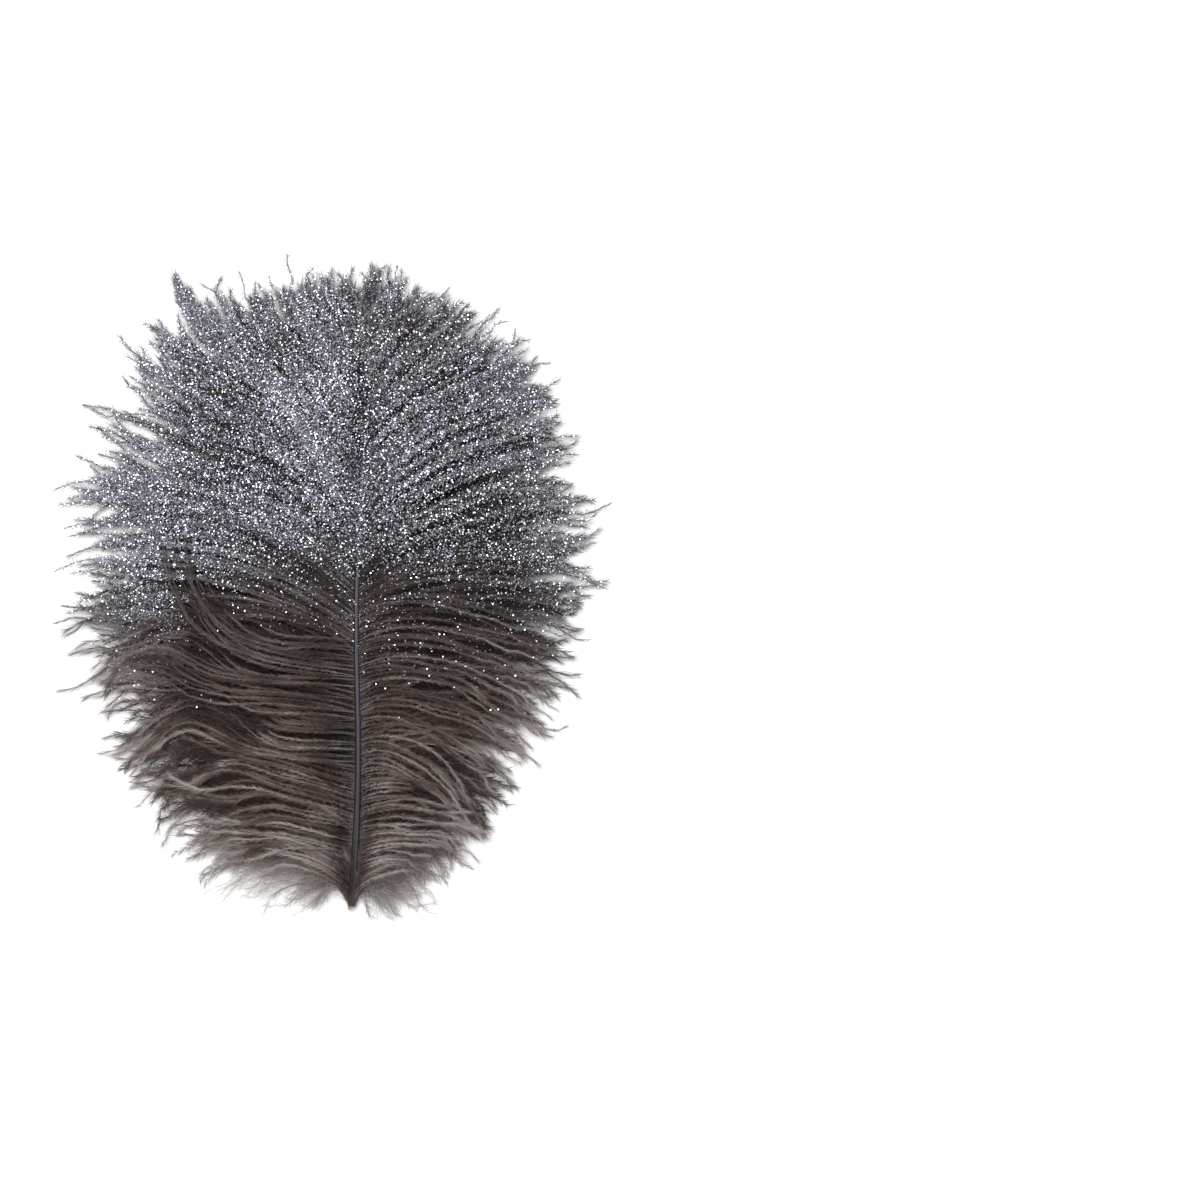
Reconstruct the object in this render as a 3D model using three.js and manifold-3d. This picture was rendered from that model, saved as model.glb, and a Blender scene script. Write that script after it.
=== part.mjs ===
// Ostrich feather lying on a flat surface: one bare shaft between two vanes of soft locks.
// Millimetres, +Z up. The cut quill end points to -Y, the tip of the feather to +Y.
import * as THREE from 'three';
import { mergeVertices } from 'three/addons/utils/BufferGeometryUtils.js';
import Module from 'manifold-3d';

// Shaft: a tapering rod that leans and sways a little in plan and arches off the surface.
const SHAFT_LENGTH = 150;
const QUILL_RADIUS = 1.15;
const SHAFT_TIP_RADIUS = 0.35;
const SHAFT_OFFSET = 0.35;
const SHAFT_LEAN = 0.024;
const SHAFT_SWAY = 0.75;
const SWAY_START = 8;
const SWAY_PERIOD = 105;
const SHAFT_ARCH = 4.2;
const ARCH_SHARE = 0.85;
const SHAFT_RINGS = 18;
const SHAFT_SIDES = 12;
const GROOVE_DEPTH = 0.45;
const GROOVE_END = 34;
const CUT_SLANT = 0.5;

// Vanes: locks of barbs rooted side by side along the shaft.
const LOCKS_PER_SIDE = 30;
const VANE_START = 2.5;
const SHAFT_GAP = 0.3;
const TIP_GAP = 0.2;
const LOCK_RINGS = 8;
const LOCK_WIDTH = [[0, 7.4], [0.4, 9.8], [0.78, 8.8], [1, 1.0]];
const LOCK_THICKNESS = [[0, 2.2], [0.35, 3.4], [0.75, 2.2], [1, 0.5]];
const LOCK_ARCH = [6.6, 5.6];
const ARCH_PEAK = 27 / 4;
const FALL_END = 0.92;
const REST_LIFT = [0, 0.25, 0.5];
const PATH_PULL = 0.36;
const REACH_WOBBLE = 0.065;
const TIP_WOBBLE = 2.0;
const HEADING_WOBBLE = 9;
const WOBBLE_STEP = 12.9898;
const WOBBLE_PHASE = 78.233;
const REACH_SEEDS = { left: 1.0, right: 1.7 };
const TIP_SEED = 2.3;
const HEADING_SEED = 3.1;

// Tip of the lock rooted at a given share of the vane: how far across, how far up.
const LEFT_ACROSS = [
  [0, 26], [0.07, 47], [0.2, 65], [0.4, 77], [0.5, 77], [0.58, 83],
  [0.66, 75], [0.74, 66], [0.81, 51], [0.88, 33], [1, 3],
];
const LEFT_UP = [
  [0, -4], [0.07, 9], [0.2, 31], [0.4, 70], [0.5, 92], [0.58, 111],
  [0.66, 129], [0.74, 150], [0.81, 173], [0.88, 174], [1, 179],
];
const RIGHT_ACROSS = [
  [0, 17], [0.07, 28], [0.2, 43], [0.4, 64], [0.5, 69], [0.58, 69],
  [0.66, 65], [0.74, 60], [0.82, 49], [0.9, 30], [1, 3],
];
const RIGHT_UP = [
  [0, -4], [0.07, 8], [0.2, 28], [0.4, 67], [0.5, 87], [0.58, 107],
  [0.66, 127], [0.74, 143], [0.82, 157], [0.9, 170], [1, 179],
];

// Headings in degrees, turned outward from the tip direction of the feather.
const ROOT_HEADING = [[0, 38], [0.15, 48], [0.5, 50], [0.74, 40], [0.9, 24], [1, 2]];
const LEFT_HEADING = [
  [0, 150], [0.1, 124], [0.25, 114], [0.38, 114], [0.5, 96], [0.6, 78],
  [0.7, 52], [0.81, 26], [0.9, 10], [1, 0],
];
const RIGHT_HEADING = [
  [0, 160], [0.1, 130], [0.25, 114], [0.5, 101],
  [0.66, 82], [0.82, 62], [0.92, 38], [1, 2],
];

// Loose locks of the left vane that lie on top and curl toward the feather's tip.
const CURLED_LOCKS = [
  { root: 0.262, across: 40, up: 45, leave: 80, arrive: 86 },
  { root: 0.29, across: 32, up: 56, leave: 82, arrive: 40 },
  { root: 0.322, across: 31, up: 61, leave: 82, arrive: 42 },
  { root: 0.37, across: 57, up: 75, leave: 75, arrive: 52 },
  { root: 0.405, across: 43, up: 77, leave: 80, arrive: 48 },
  { root: 0.44, across: 48, up: 99, leave: 82, arrive: 20 },
  { root: 0.478, across: 33, up: 84, leave: 82, arrive: 40 },
];
const CURL_PULL = 0.52;
const CURL_ARCH = 8.5;
const CURL_TIP_HEIGHT = 7.0;
const CURL_NARROWING = 0.5;
const CURL_RINGS = 7;

// Block that keeps a vane on its own side of the shaft.
const BLOCK_REACH = 120;
const BLOCK_ENDS = [-30, 230];
const BLOCK_STEP = 10;
const BLOCK_HEIGHTS = [-20, 40];
const WELD_DISTANCE = 1e-4;

// Plain colours of the dyed shaft and barbs.
const SHAFT_GREY = 0x5d5a5c;
const SHAFT_ROUGHNESS = 0.45;
const BARB_BROWN = 0x4a4442;
const BARB_ROUGHNESS = 0.85;

const LEFT = -1;
const RIGHT = 1;
const wasm = await Module();
wasm.setup();

// Smooth value at a share along a short table of [share, value] points.
function along(table, share) {
  const last = table.length - 1;
  let i = 0;
  while (i < last - 1 && share > table[i + 1][0]) i += 1;
  const slope = (j) => {
    const before = table[Math.max(j - 1, 0)];
    const after = table[Math.min(j + 1, last)];
    return (after[1] - before[1]) / (after[0] - before[0]);
  };
  const span = table[i + 1][0] - table[i][0];
  const t = (share - table[i][0]) / span;
  const ease = t * t * (3 - 2 * t);
  const bend = t * (1 - t) * ((1 - t) * slope(i) - t * slope(i + 1));
  return table[i][1] * (1 - ease) + table[i + 1][1] * ease + span * bend;
}

// Repeatable unevenness between -1 and 1 for the lock numbered k.
function wobble(k, seed) {
  return Math.sin((WOBBLE_STEP * k + WOBBLE_PHASE) * seed);
}

function heading(degrees, side) {
  const a = THREE.MathUtils.degToRad(degrees);
  return new THREE.Vector2(side * Math.sin(a), Math.cos(a));
}

function shaftAcross(y) {
  const sway = Math.sin((2 * Math.PI * (y - SWAY_START)) / SWAY_PERIOD);
  return SHAFT_OFFSET + SHAFT_LEAN * y + SHAFT_SWAY * sway;
}

function shaftRadius(y) {
  return THREE.MathUtils.lerp(QUILL_RADIUS, SHAFT_TIP_RADIUS, y / SHAFT_LENGTH);
}

function shaftHeight(y) {
  const share = THREE.MathUtils.clamp(y / SHAFT_LENGTH, 0, 1);
  return QUILL_RADIUS + SHAFT_ARCH * Math.sin(Math.PI * ARCH_SHARE * share);
}

// Closed body through rings of equal point count, with a flat cap on each end.
function loft(rings) {
  const count = rings[0].length;
  const positions = rings.flat().flatMap((p) => [p.x, p.y, p.z]);
  const index = [];
  for (let r = 0; r < rings.length - 1; r += 1) {
    for (let j = 0; j < count; j += 1) {
      const a = r * count + j;
      const b = r * count + ((j + 1) % count);
      index.push(a, b, b + count, a, b + count, a + count);
    }
  }
  const end = (rings.length - 1) * count;
  for (let j = 1; j < count - 1; j += 1) {
    index.push(0, j + 1, j, end, end + j, end + j + 1);
  }
  const geometry = new THREE.BufferGeometry();
  geometry.setAttribute('position', new THREE.Float32BufferAttribute(positions, 3));
  geometry.setIndex(index);
  return geometry;
}

function shaftGeometry() {
  const rings = [];
  for (let r = 0; r < SHAFT_RINGS; r += 1) {
    const y = (SHAFT_LENGTH * r) / (SHAFT_RINGS - 1);
    const radius = shaftRadius(y);
    const groove = GROOVE_DEPTH * Math.max(0, 1 - y / GROOVE_END);
    const ring = [];
    for (let j = 0; j < SHAFT_SIDES; j += 1) {
      const a = (2 * Math.PI * j) / SHAFT_SIDES;
      const dip = j === 0 ? groove : 0;
      const z = shaftHeight(y) + radius * Math.cos(a) - dip;
      const slant = r === 0 ? CUT_SLANT * Math.sin(a) : 0;
      ring.push(new THREE.Vector3(shaftAcross(y) + radius * Math.sin(a), y + slant, z));
    }
    rings.push(ring);
  }
  return loft(rings);
}

function rootPoint(share) {
  const y = VANE_START + (SHAFT_LENGTH - VANE_START) * share;
  return new THREE.Vector2(shaftAcross(y), y);
}

// Plan path from root to tip that leaves and arrives at the given headings.
function path(root, tip, leave, arrive, pull, side) {
  const reach = pull * root.distanceTo(tip);
  const first = root.clone().addScaledVector(heading(leave, side), reach);
  const second = tip.clone().addScaledVector(heading(arrive, side), -reach);
  return new THREE.CubicBezierCurve(root, first, second, tip);
}

// Lock with a flat underside and a ridged top that follows a plan path.
function lockGeometry(curve, arch, endHeight, lift, narrowing, count) {
  const rootHeight = shaftHeight(curve.v0.y);
  const rings = [];
  for (let r = 0; r < count; r += 1) {
    const u = r / (count - 1);
    const point = curve.getPoint(u);
    const tangent = curve.getTangent(u);
    const half = (narrowing * along(LOCK_WIDTH, u)) / 2;
    const thickness = along(LOCK_THICKNESS, u);
    const fall = THREE.MathUtils.smoothstep(u, 0, FALL_END);
    const bump = arch * ARCH_PEAK * u * (1 - u) * (1 - u);
    const middle = THREE.MathUtils.lerp(rootHeight, endHeight, fall) + bump;
    const bottom = Math.max(middle - thickness / 2, lift);
    const sideways = new THREE.Vector2(-tangent.y, tangent.x).multiplyScalar(half);
    rings.push([
      new THREE.Vector3(point.x + sideways.x, point.y + sideways.y, bottom),
      new THREE.Vector3(point.x, point.y, bottom + thickness),
      new THREE.Vector3(point.x - sideways.x, point.y - sideways.y, bottom),
    ]);
  }
  return loft(rings);
}

function plainLock(k, side) {
  const share = (k + 0.5) / LOCKS_PER_SIDE;
  const root = rootPoint(share);
  const across = along(side === LEFT ? LEFT_ACROSS : RIGHT_ACROSS, share);
  const up = along(side === LEFT ? LEFT_UP : RIGHT_UP, share);
  const seed = side === LEFT ? REACH_SEEDS.left : REACH_SEEDS.right;
  const stretch = 1 + REACH_WOBBLE * wobble(k, seed);
  const tip = new THREE.Vector2(side * across, up).lerp(root, 1 - stretch);
  tip.y += TIP_WOBBLE * wobble(k, TIP_SEED);
  const turn = along(side === LEFT ? LEFT_HEADING : RIGHT_HEADING, share);
  const arrive = turn + HEADING_WOBBLE * wobble(k, HEADING_SEED + side);
  const curve = path(root, tip, along(ROOT_HEADING, share), arrive, PATH_PULL, side);
  return lockGeometry(curve, LOCK_ARCH[k % 2], 0, REST_LIFT[k % 3], 1, LOCK_RINGS);
}

function curledLock(lock) {
  const tip = new THREE.Vector2(LEFT * lock.across, lock.up);
  const root = rootPoint(lock.root);
  const curve = path(root, tip, lock.leave, lock.arrive, CURL_PULL, LEFT);
  const lift = REST_LIFT[1];
  return lockGeometry(curve, CURL_ARCH, CURL_TIP_HEIGHT, lift, CURL_NARROWING, CURL_RINGS);
}

function toSolid(geometry) {
  const plain = geometry.clone();
  for (const name of Object.keys(plain.attributes)) {
    if (name !== 'position') plain.deleteAttribute(name);
  }
  const merged = mergeVertices(plain, WELD_DISTANCE);
  const vertProperties = new Float32Array(merged.attributes.position.array);
  const triVerts = new Uint32Array(merged.index.array);
  return new wasm.Manifold(new wasm.Mesh({ numProp: 3, vertProperties, triVerts }));
}

function toGeometry(solid) {
  const mesh = solid.getMesh();
  const geometry = new THREE.BufferGeometry();
  const positions = new THREE.BufferAttribute(new Float32Array(mesh.vertProperties), 3);
  geometry.setAttribute('position', positions);
  geometry.setIndex(new THREE.BufferAttribute(new Uint32Array(mesh.triVerts), 1));
  return geometry;
}

// Everything on one side of the shaft, kept clear of its flank and of the other vane.
function sideBlock(side) {
  const [low, high] = BLOCK_ENDS;
  const [bottom, top] = BLOCK_HEIGHTS;
  const outline = [new THREE.Vector2(side * BLOCK_REACH, low)];
  for (let y = low; y <= high; y += BLOCK_STEP) {
    const onShaft = y <= SHAFT_LENGTH;
    const gap = onShaft ? shaftRadius(Math.max(y, 0)) + SHAFT_GAP : TIP_GAP;
    outline.push(new THREE.Vector2(shaftAcross(y) + side * gap, y));
  }
  outline.push(new THREE.Vector2(side * BLOCK_REACH, high));
  const block = new THREE.ExtrudeGeometry(new THREE.Shape(outline), {
    depth: top - bottom,
    bevelEnabled: false,
  });
  return block.translate(0, 0, bottom);
}

function vaneGeometry(side) {
  const locks = [];
  for (let k = 0; k < LOCKS_PER_SIDE; k += 1) locks.push(plainLock(k, side));
  if (side === LEFT) locks.push(...CURLED_LOCKS.map(curledLock));
  const fused = locks.map(toSolid).reduce((all, next) => all.add(next));
  return toGeometry(fused.intersect(toSolid(sideBlock(side))));
}

function part(name, geometry, color, roughness) {
  const material = new THREE.MeshStandardMaterial({ color, roughness, metalness: 0 });
  const mesh = new THREE.Mesh(geometry, material);
  mesh.name = name;
  return mesh;
}

const feather = new THREE.Group();
feather.name = 'ostrich_feather';
feather.add(part('shaft', shaftGeometry(), SHAFT_GREY, SHAFT_ROUGHNESS));
feather.add(part('left_vane', vaneGeometry(LEFT), BARB_BROWN, BARB_ROUGHNESS));
feather.add(part('right_vane', vaneGeometry(RIGHT), BARB_BROWN, BARB_ROUGHNESS));

// The origin is the centre of the feather's outline on the surface it lies on.
const box = new THREE.Box3().setFromObject(feather);
const middle = box.getCenter(new THREE.Vector3());
for (const mesh of feather.children) {
  mesh.geometry.translate(-middle.x, -middle.y, -box.min.z);
}

export default feather;
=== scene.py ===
"""Dyed ostrich feather with glitter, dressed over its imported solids."""

import functools
import math
from types import SimpleNamespace

import bpy
import numpy as np
from bpy.props import FloatProperty, FloatVectorProperty, IntProperty, PointerProperty
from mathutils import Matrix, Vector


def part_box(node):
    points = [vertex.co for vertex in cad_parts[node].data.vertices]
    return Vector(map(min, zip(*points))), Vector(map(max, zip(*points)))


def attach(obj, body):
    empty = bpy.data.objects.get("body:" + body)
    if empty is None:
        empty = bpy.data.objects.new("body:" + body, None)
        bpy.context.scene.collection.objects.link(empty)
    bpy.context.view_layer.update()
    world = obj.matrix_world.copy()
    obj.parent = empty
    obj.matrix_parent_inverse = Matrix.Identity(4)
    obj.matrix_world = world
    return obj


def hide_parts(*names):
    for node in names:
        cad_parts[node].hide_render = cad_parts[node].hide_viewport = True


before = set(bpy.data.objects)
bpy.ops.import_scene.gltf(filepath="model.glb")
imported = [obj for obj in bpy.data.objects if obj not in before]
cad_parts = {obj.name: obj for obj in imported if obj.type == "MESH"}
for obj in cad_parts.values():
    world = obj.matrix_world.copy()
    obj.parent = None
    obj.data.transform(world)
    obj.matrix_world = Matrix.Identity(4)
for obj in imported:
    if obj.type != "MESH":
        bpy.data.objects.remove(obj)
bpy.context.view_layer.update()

bl_info = {
    "name": "Ostrich Feather",
    "version": (1, 0, 0),
    "blender": (4, 5, 0),
    "location": "View3D > Sidebar > Feather",
    "description": "Builds a dyed ostrich feather: shaft, barbs with barbules, and glitter",
    "category": "Add Mesh",
}

MM = 0.001
LEFT, RIGHT = SIDES = (-1, 1)
SIDE_NAMES = {LEFT: "left", RIGHT: "right"}

# The feather's own law, in millimetres from the middle of the cut end. Shaft, outline and arch are
# those of the part's source; the loose locks here are more and finer than the part's seven.
SHAFT_LENGTH = 150.0
QUILL_RADIUS = 1.15
SHAFT_TIP_RADIUS = 0.35
SHAFT_OFFSET, SHAFT_LEAN = 0.35, 0.024
SHAFT_SWAY, SWAY_START, SWAY_PERIOD = 0.75, 8.0, 105.0
SHAFT_ARCH = 4.2
ARCH_WAVE = 0.85
CUT_SLANT = 0.5
CUT_FADE = 0.8
GROOVE_END, GROOVE_FADE, GROOVE_WIDTH = 34.0, 0.2, 0.36
LOCKS_PER_SIDE = 30
VANE_START = 2.5
ROOT_DEPTH = 0.7
LOCK_THICKNESS = ((0, 2.2), (0.35, 3.4), (0.75, 2.2), (1, 0.5))
LOCK_ARCH = (6.6, 5.6)
ARCH_PEAK = 27 / 4
PATH_PULL = 0.36
REACH_WOBBLE = 0.065
TIP_WOBBLE = 2.0
HEADING_WOBBLE = 9.0
WOBBLE_STEP, WOBBLE_START = 12.9898, 78.233
REACH_SEED, TIP_SEED = {LEFT: 1.0, RIGHT: 1.7}, 2.3
HEADING_SEED, SWAY_SEED, RAISE_SEED = 3.1, 4.3, 5.7
ACROSS = {
    LEFT: ((0, 26), (0.07, 47), (0.2, 65), (0.4, 77), (0.5, 77), (0.58, 83),
           (0.66, 75), (0.74, 66), (0.81, 51), (0.88, 33), (1, 3)),
    RIGHT: ((0, 17), (0.07, 28), (0.2, 43), (0.4, 64), (0.5, 69), (0.58, 69),
            (0.66, 65), (0.74, 60), (0.82, 49), (0.9, 30), (1, 3)),
}
UP = {
    LEFT: ((0, -4), (0.07, 9), (0.2, 31), (0.4, 70), (0.5, 92), (0.58, 111),
           (0.66, 129), (0.74, 150), (0.81, 173), (0.88, 174), (1, 179)),
    RIGHT: ((0, -4), (0.07, 8), (0.2, 28), (0.4, 67), (0.5, 87), (0.58, 107),
            (0.66, 127), (0.74, 143), (0.82, 157), (0.9, 170), (1, 179)),
}
ROOT_HEADING = ((0, 38), (0.15, 48), (0.5, 50), (0.74, 40), (0.9, 24), (1, 2))
TIP_HEADING = {
    LEFT: ((0, 150), (0.1, 124), (0.25, 114), (0.38, 114), (0.5, 96), (0.6, 78),
           (0.7, 52), (0.81, 26), (0.9, 10), (1, 0)),
    RIGHT: ((0, 160), (0.1, 130), (0.25, 114), (0.5, 101),
            (0.66, 82), (0.82, 62), (0.92, 38), (1, 2)),
}
# Loose locks of the left vane: root share, tip across, tip up, leaving and arriving heading.
CURLED_LOCKS = (
    (0.256, 41, 44.5, 80, 86), (0.275, 31, 51.5, 82, 52), (0.289, 32, 56, 82, 40),
    (0.318, 31, 60, 82, 42), (0.334, 24, 59.5, 80, 48), (0.346, 40, 66, 78, 50),
    (0.358, 55, 71, 74, 56), (0.384, 57.5, 76.5, 76, 50), (0.407, 42, 76.5, 80, 48),
    (0.425, 46, 95, 80, 22), (0.445, 49, 103.5, 82, 14), (0.462, 41, 91, 82, 28),
    (0.48, 33, 84, 82, 40),
)
# Stray locks that stand out of the outline: root share, tip across, tip up, arriving heading.
STRAY_LOCKS = {
    LEFT: (
        (0.80, 48.5, 177, 6), (0.82, 46, 176, 4), (0.81, 48, 174, 12), (0.76, 59, 164, 55),
        (0.73, 65, 154, 60), (0.69, 75, 138, 66), (0.61, 79, 117, 92), (0.59, 79, 111, 112),
        (0.58, 77, 104, 128), (0.48, 78, 86, 76), (0.95, 11, 177, 2), (0.12, 50, 26, 140),
        (0.19, 50, 29, 215), (0.83, 42, 171, 4), (0.85, 37, 171, 0), (0.87, 31, 172, 0),
        (0.89, 25, 173, 0), (0.54, 74, 103, 94), (0.64, 72, 124, 82), (0.6, 77, 112, 92),
    ),
    RIGHT: (
        (0.80, 53, 156, 62), (0.57, 68, 103, 84), (0.5, 68, 87, 104), (0.37, 59, 56, 128),
        (0.26, 48, 43, 122), (0.29, 51, 50, 114), (0.97, 5.5, 178, 4), (0.93, 15, 176, 10),
        (0.9, 24, 170, 22),
    ),
}
# Hollows where the upper barbs end early: first and last root share, share of the reach kept.
HOLLOWS = {
    LEFT: ((0.2, 0.225, 0.5), (0.12, 0.145, 0.5), (0.16, 0.175, 0.62)),
    RIGHT: ((0.186, 0.212, 0.36),),
}

# The layers of a vane, from the surface up. Crowd multiplies the number of barbs in the settings,
# heights are shares of the lock's thickness, reaches are shares of the way to the tip, and
# scatter and bare are in mm. Barbs end ahead of their place on the outline: toward the crown in
# the left vane's uppermost layer, and lower down in the right vane, where they fall over.
# The darker tone of the middle and under layers is painted shade under the layers above them.
LAYERS = {
    "under": SimpleNamespace(
        number=0, start=0.05, crowd=1.45, height=0.15, clump=0.0, uneven=0.0, droop=0.5,
        scatter=4.0, ahead={LEFT: 0.0, RIGHT: 0.0}, reach=0.84, reach_spread=0.05, crown_reach=0.7,
        tone=0.14, tone_spread=0.06, pale=0.45, dull=0.08, bare=0.0, ends=-0.35),
    "middle": SimpleNamespace(
        number=1, start=0.0, crowd=1.25, height=0.65, clump=0.05, uneven=0.4, droop=1.0,
        scatter=2.8, ahead={LEFT: 0.0, RIGHT: -0.05}, reach=0.885, reach_spread=0.06,
        crown_reach=0.8, tone=0.3, tone_spread=0.14, pale=0.3, dull=0.08, bare=-1.5, ends=0.5),
    "top": SimpleNamespace(
        number=2, start=0.0, crowd=1.4, height=1.15, clump=0.14, uneven=0.8, droop=1.0,
        scatter=2.8, ahead={LEFT: 0.13, RIGHT: -0.11}, reach=0.82, reach_spread=0.1,
        crown_reach=0.8, tone=0.6, tone_spread=0.13, pale=0.3, dull=0.12, bare=0.4, ends=0.3),
}
# Barbules of each layer: length and width in mm, lean from the barb in degrees, spacing
# along the barb in mm, how many stand round the barb, and how much they rise off the plan.
LAYER_FRINGE = {
    "under": (4.6, 0.60, 36, 0.72, 3, 0.2),
    "middle": (2.9, 0.20, 24, 0.52, 5, 0.5),
    "top": (2.1, 0.21, 18, 0.50, 6, 0.8),
    "down": (4.6, 0.13, 40, 0.70, 3, 0.5),
}
POINTS_PER_BARB = 22
TIP_CROWDING, ROOT_JITTER = 1.3, (-0.3, 0.3)
# Each bundle of barbs draws its own chances: what is added to the seed, besides the side.
LAYER_SEED, DOWN_SEED, FOOT_SEED, CURL_SEED, STRAY_SEED = 10, 50, 60, 77, 90

# Traits of the barbs along each vane: the root shares where one starts, is full, fades and ends.
FROM_FOOT, TO_TIP = (-2, -1), (2, 3)
NOWHERE = (2, 3, 4, 5)
TRAITS = {
    # How the barbs gather in locks, and how unlike each other the locks are.
    "loose": {LEFT: (*FROM_FOOT, 0.34, 0.5)},
    "even": dict.fromkeys(SIDES, (0.45, 0.6, *TO_TIP)),
    "wispy": {LEFT: (0.5, 0.58, 0.7, 0.78)},
    "messy": {LEFT: (*FROM_FOOT, 0.16, 0.24)},
    # Where barbs lie under the loose locks, or are pressed down beside them.
    "covered": {LEFT: (0.22, 0.27, 0.42, 0.47)},
    "pressed": {LEFT: (0.43, 0.48, 0.57, 0.66)},
    # How they run: ahead of their place, drooping, up into the crown, square off the shaft.
    "ahead": {LEFT: (0.55, 0.64, 0.82, 0.96), RIGHT: (0.14, 0.26, 0.5, 0.64)},
    "droop": dict.fromkeys(SIDES, (0.06, 0.13, 0.4, 0.48)),
    "crown": {LEFT: (0.6, 0.78, 0.9, 1.0)},
    "square": {LEFT: (0.02, 0.09, 0.36, 0.5), RIGHT: (0.02, 0.09, 0.55, 0.7)},
    "topmost": dict.fromkeys(SIDES, (0.86, 0.98, *TO_TIP)),
    "foot": dict.fromkeys(SIDES, (*FROM_FOOT, 0.0, 0.09)),
    "upright": dict.fromkeys(SIDES, (*FROM_FOOT, 0.0, 0.08)),
    # How the upper roots close over the thin end of the shaft, and how the ends part.
    "tucked": dict.fromkeys(SIDES, (0.55, 0.7, *TO_TIP)),
    "closed": dict.fromkeys(SIDES, (0.55, 0.72, *TO_TIP)),
    "parted": dict.fromkeys(SIDES, (0.46, 0.56, 0.8, 0.92)),
    # How much dye they took, and where painted shade makes the dark V of the roots beside the cut end.
    "faded": dict.fromkeys(SIDES, (*FROM_FOOT, 0.04, 0.18)),
    "dull": {RIGHT: (0.32, 0.42, 0.6, 0.7)},
    "soft": dict.fromkeys(SIDES, (0.26, 0.36, 0.55, 0.65)),
    "rooted": dict.fromkeys(SIDES, (*FROM_FOOT, 0.1, 0.22)),
}
# What the traits do: turns and scatter of headings in degrees, tucks, lifts, sways and shadows
# along the barb in mm, the rest as shares.
LOOSE_CLUMP, EVEN_CLUMP, WISPY_CLUMP, EVEN_LOCKS = 1.6, 0.7, 0.3, 0.6
ROOT_TUCK, CLOSED_BARE = 1.6, 1.2
DROOP_TURN, DROOP_SWAY = {LEFT: 24, RIGHT: 15}, {LEFT: 2.4, RIGHT: 1.1}
DROOP_WOBBLE = {LEFT: 1.0, RIGHT: 0.2}
CROWN_TURN, CROWN_LEAVE, AHEAD_LEAVE = 16, 12, 150
SQUARE_TURN = {LEFT: 24, RIGHT: 15}
UPRIGHT_TURN, FOOT_LIFT = 0.4, 13
ARRIVE_SCATTER, MESSY_SCATTER, LEAVE_SCATTER = 9, 14, 2.5
ARCH_RANGE, PRESSED_ARCH = (0.93, 1.1), 0.38
HEIGHT_RANGE, COVERED_DROP, LOCK_RAISE = (-0.2, 0.2), 0.5, 0.9
REACH_RANGE, HOLLOW_RANGE, WISPY_SHORT, MESSY_SHORT = (0.5, 1.0), (0.85, 1.1), 0.2, (0, 0.4)
# The last of these darkens the middle barbs under the hollows, as painted shade.
RIGHT_PALE, SOFT_TONE, HOLLOW_PAINTED_SHADE = 0.08, 0.05, 0.4
LOCK_SHADOW, ROOT_SHADOW, ROOT_SHADE = (36, 50), (2.0, 7.5), 0.75
HOLLOW_SHADOW, HOLLOW_SHADE = (0.4, 0.9), 0.9
DROOP_ENDS, PARTED_ENDS = 0.55, {LEFT: 0.45, RIGHT: 0.075}

# How a barb runs, by its share of the way to the tip: its ruffles (shortest and longest wave and
# size in mm, share where it starts), its lock's sway, its fall to the surface and its loose end.
RUFFLES = ((12, 24, 0.7, 0.25), (4, 8, 0.4, 0.45))
RUFFLE_FULL, RUFFLE_LIFT = 0.9, 0.3
LOCK_WAVE, SWAY_SPAN = 34.0, (0.2, 0.6)
FALL_END, LAYERS_PART, RAISE_SPAN = 0.92, 0.2, (0.1, 0.45)
LOOSE_FROM, SPLAY, END_LIFT = 0.5, 4.0, 1.4
LOCK_GAP, BARB_GAP = 0.25, 0.45
# Past this stretch of the shaft in mm the roots lie over it, by this many of its radii.
SHAFT_COVERED, COVER_LIFT, COVER_END = (90, 113), 1.3, 0.12
# Barbules reach full length this many mm past the bare root, and change over this share.
COVER_RISE, ENDS_SPAN = 5.0, (0.6, 0.95)
STILL = np.zeros(1)

# Small barbs at the cut end, each value drawn between two: leaving and arriving heading, share of
# the reach, arch in mm and height. Dye is a mean, a spread and the most; barbules start after a
# bare length in mm and change by a share at the end.
DOWN_SPANS = ((30, 60), (105, 155), (0.7, 1.02), (1.0, 2.6), (0.1, 0.9))
DOWN_ROOTS, DOWN_LEAST, DOWN_MOST, DOWN_ROOT_REACH = (0.0, 0.12), 5, {LEFT: 46, RIGHT: 27}, 30
DOWN_LOW, DOWN_SLOPE, DOWN_SCATTER = -3, 0.16, (-3, 7)
DOWN_TONE, DOWN_COVER = (0.95, 0.1, 1.2), (3.0, 0.0)
FOOT_SPANS = ((12, 24), (50, 80), (0.8, 1.0), (0.5, 1.6), (0.3, 0.9))
FOOT_ROOTS, FOOT_ACROSS, FOOT_UP, FOOT_END_HEIGHT = (-0.012, 0.07), (7, 17), (9, 15), 0.5
FOOT_TONE, FOOT_COVER = (0.48, 0.1, 1), (-2.5, 0.2)
# Stray locks: scatter of root shares, of tips in mm and of both headings in degrees.
STRAY_ROOTS, STRAY_TIPS, STRAY_TURNS = (-0.02, 0.02), 1.3, (3, 7)
STRAY_REACH, STRAY_HEIGHT = (0.88, 1.0), (0.5, 1.0)
STRAY_TONE, STRAY_COVER = (0.4, 0.15, 1), (1.5, 0.3)

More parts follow.
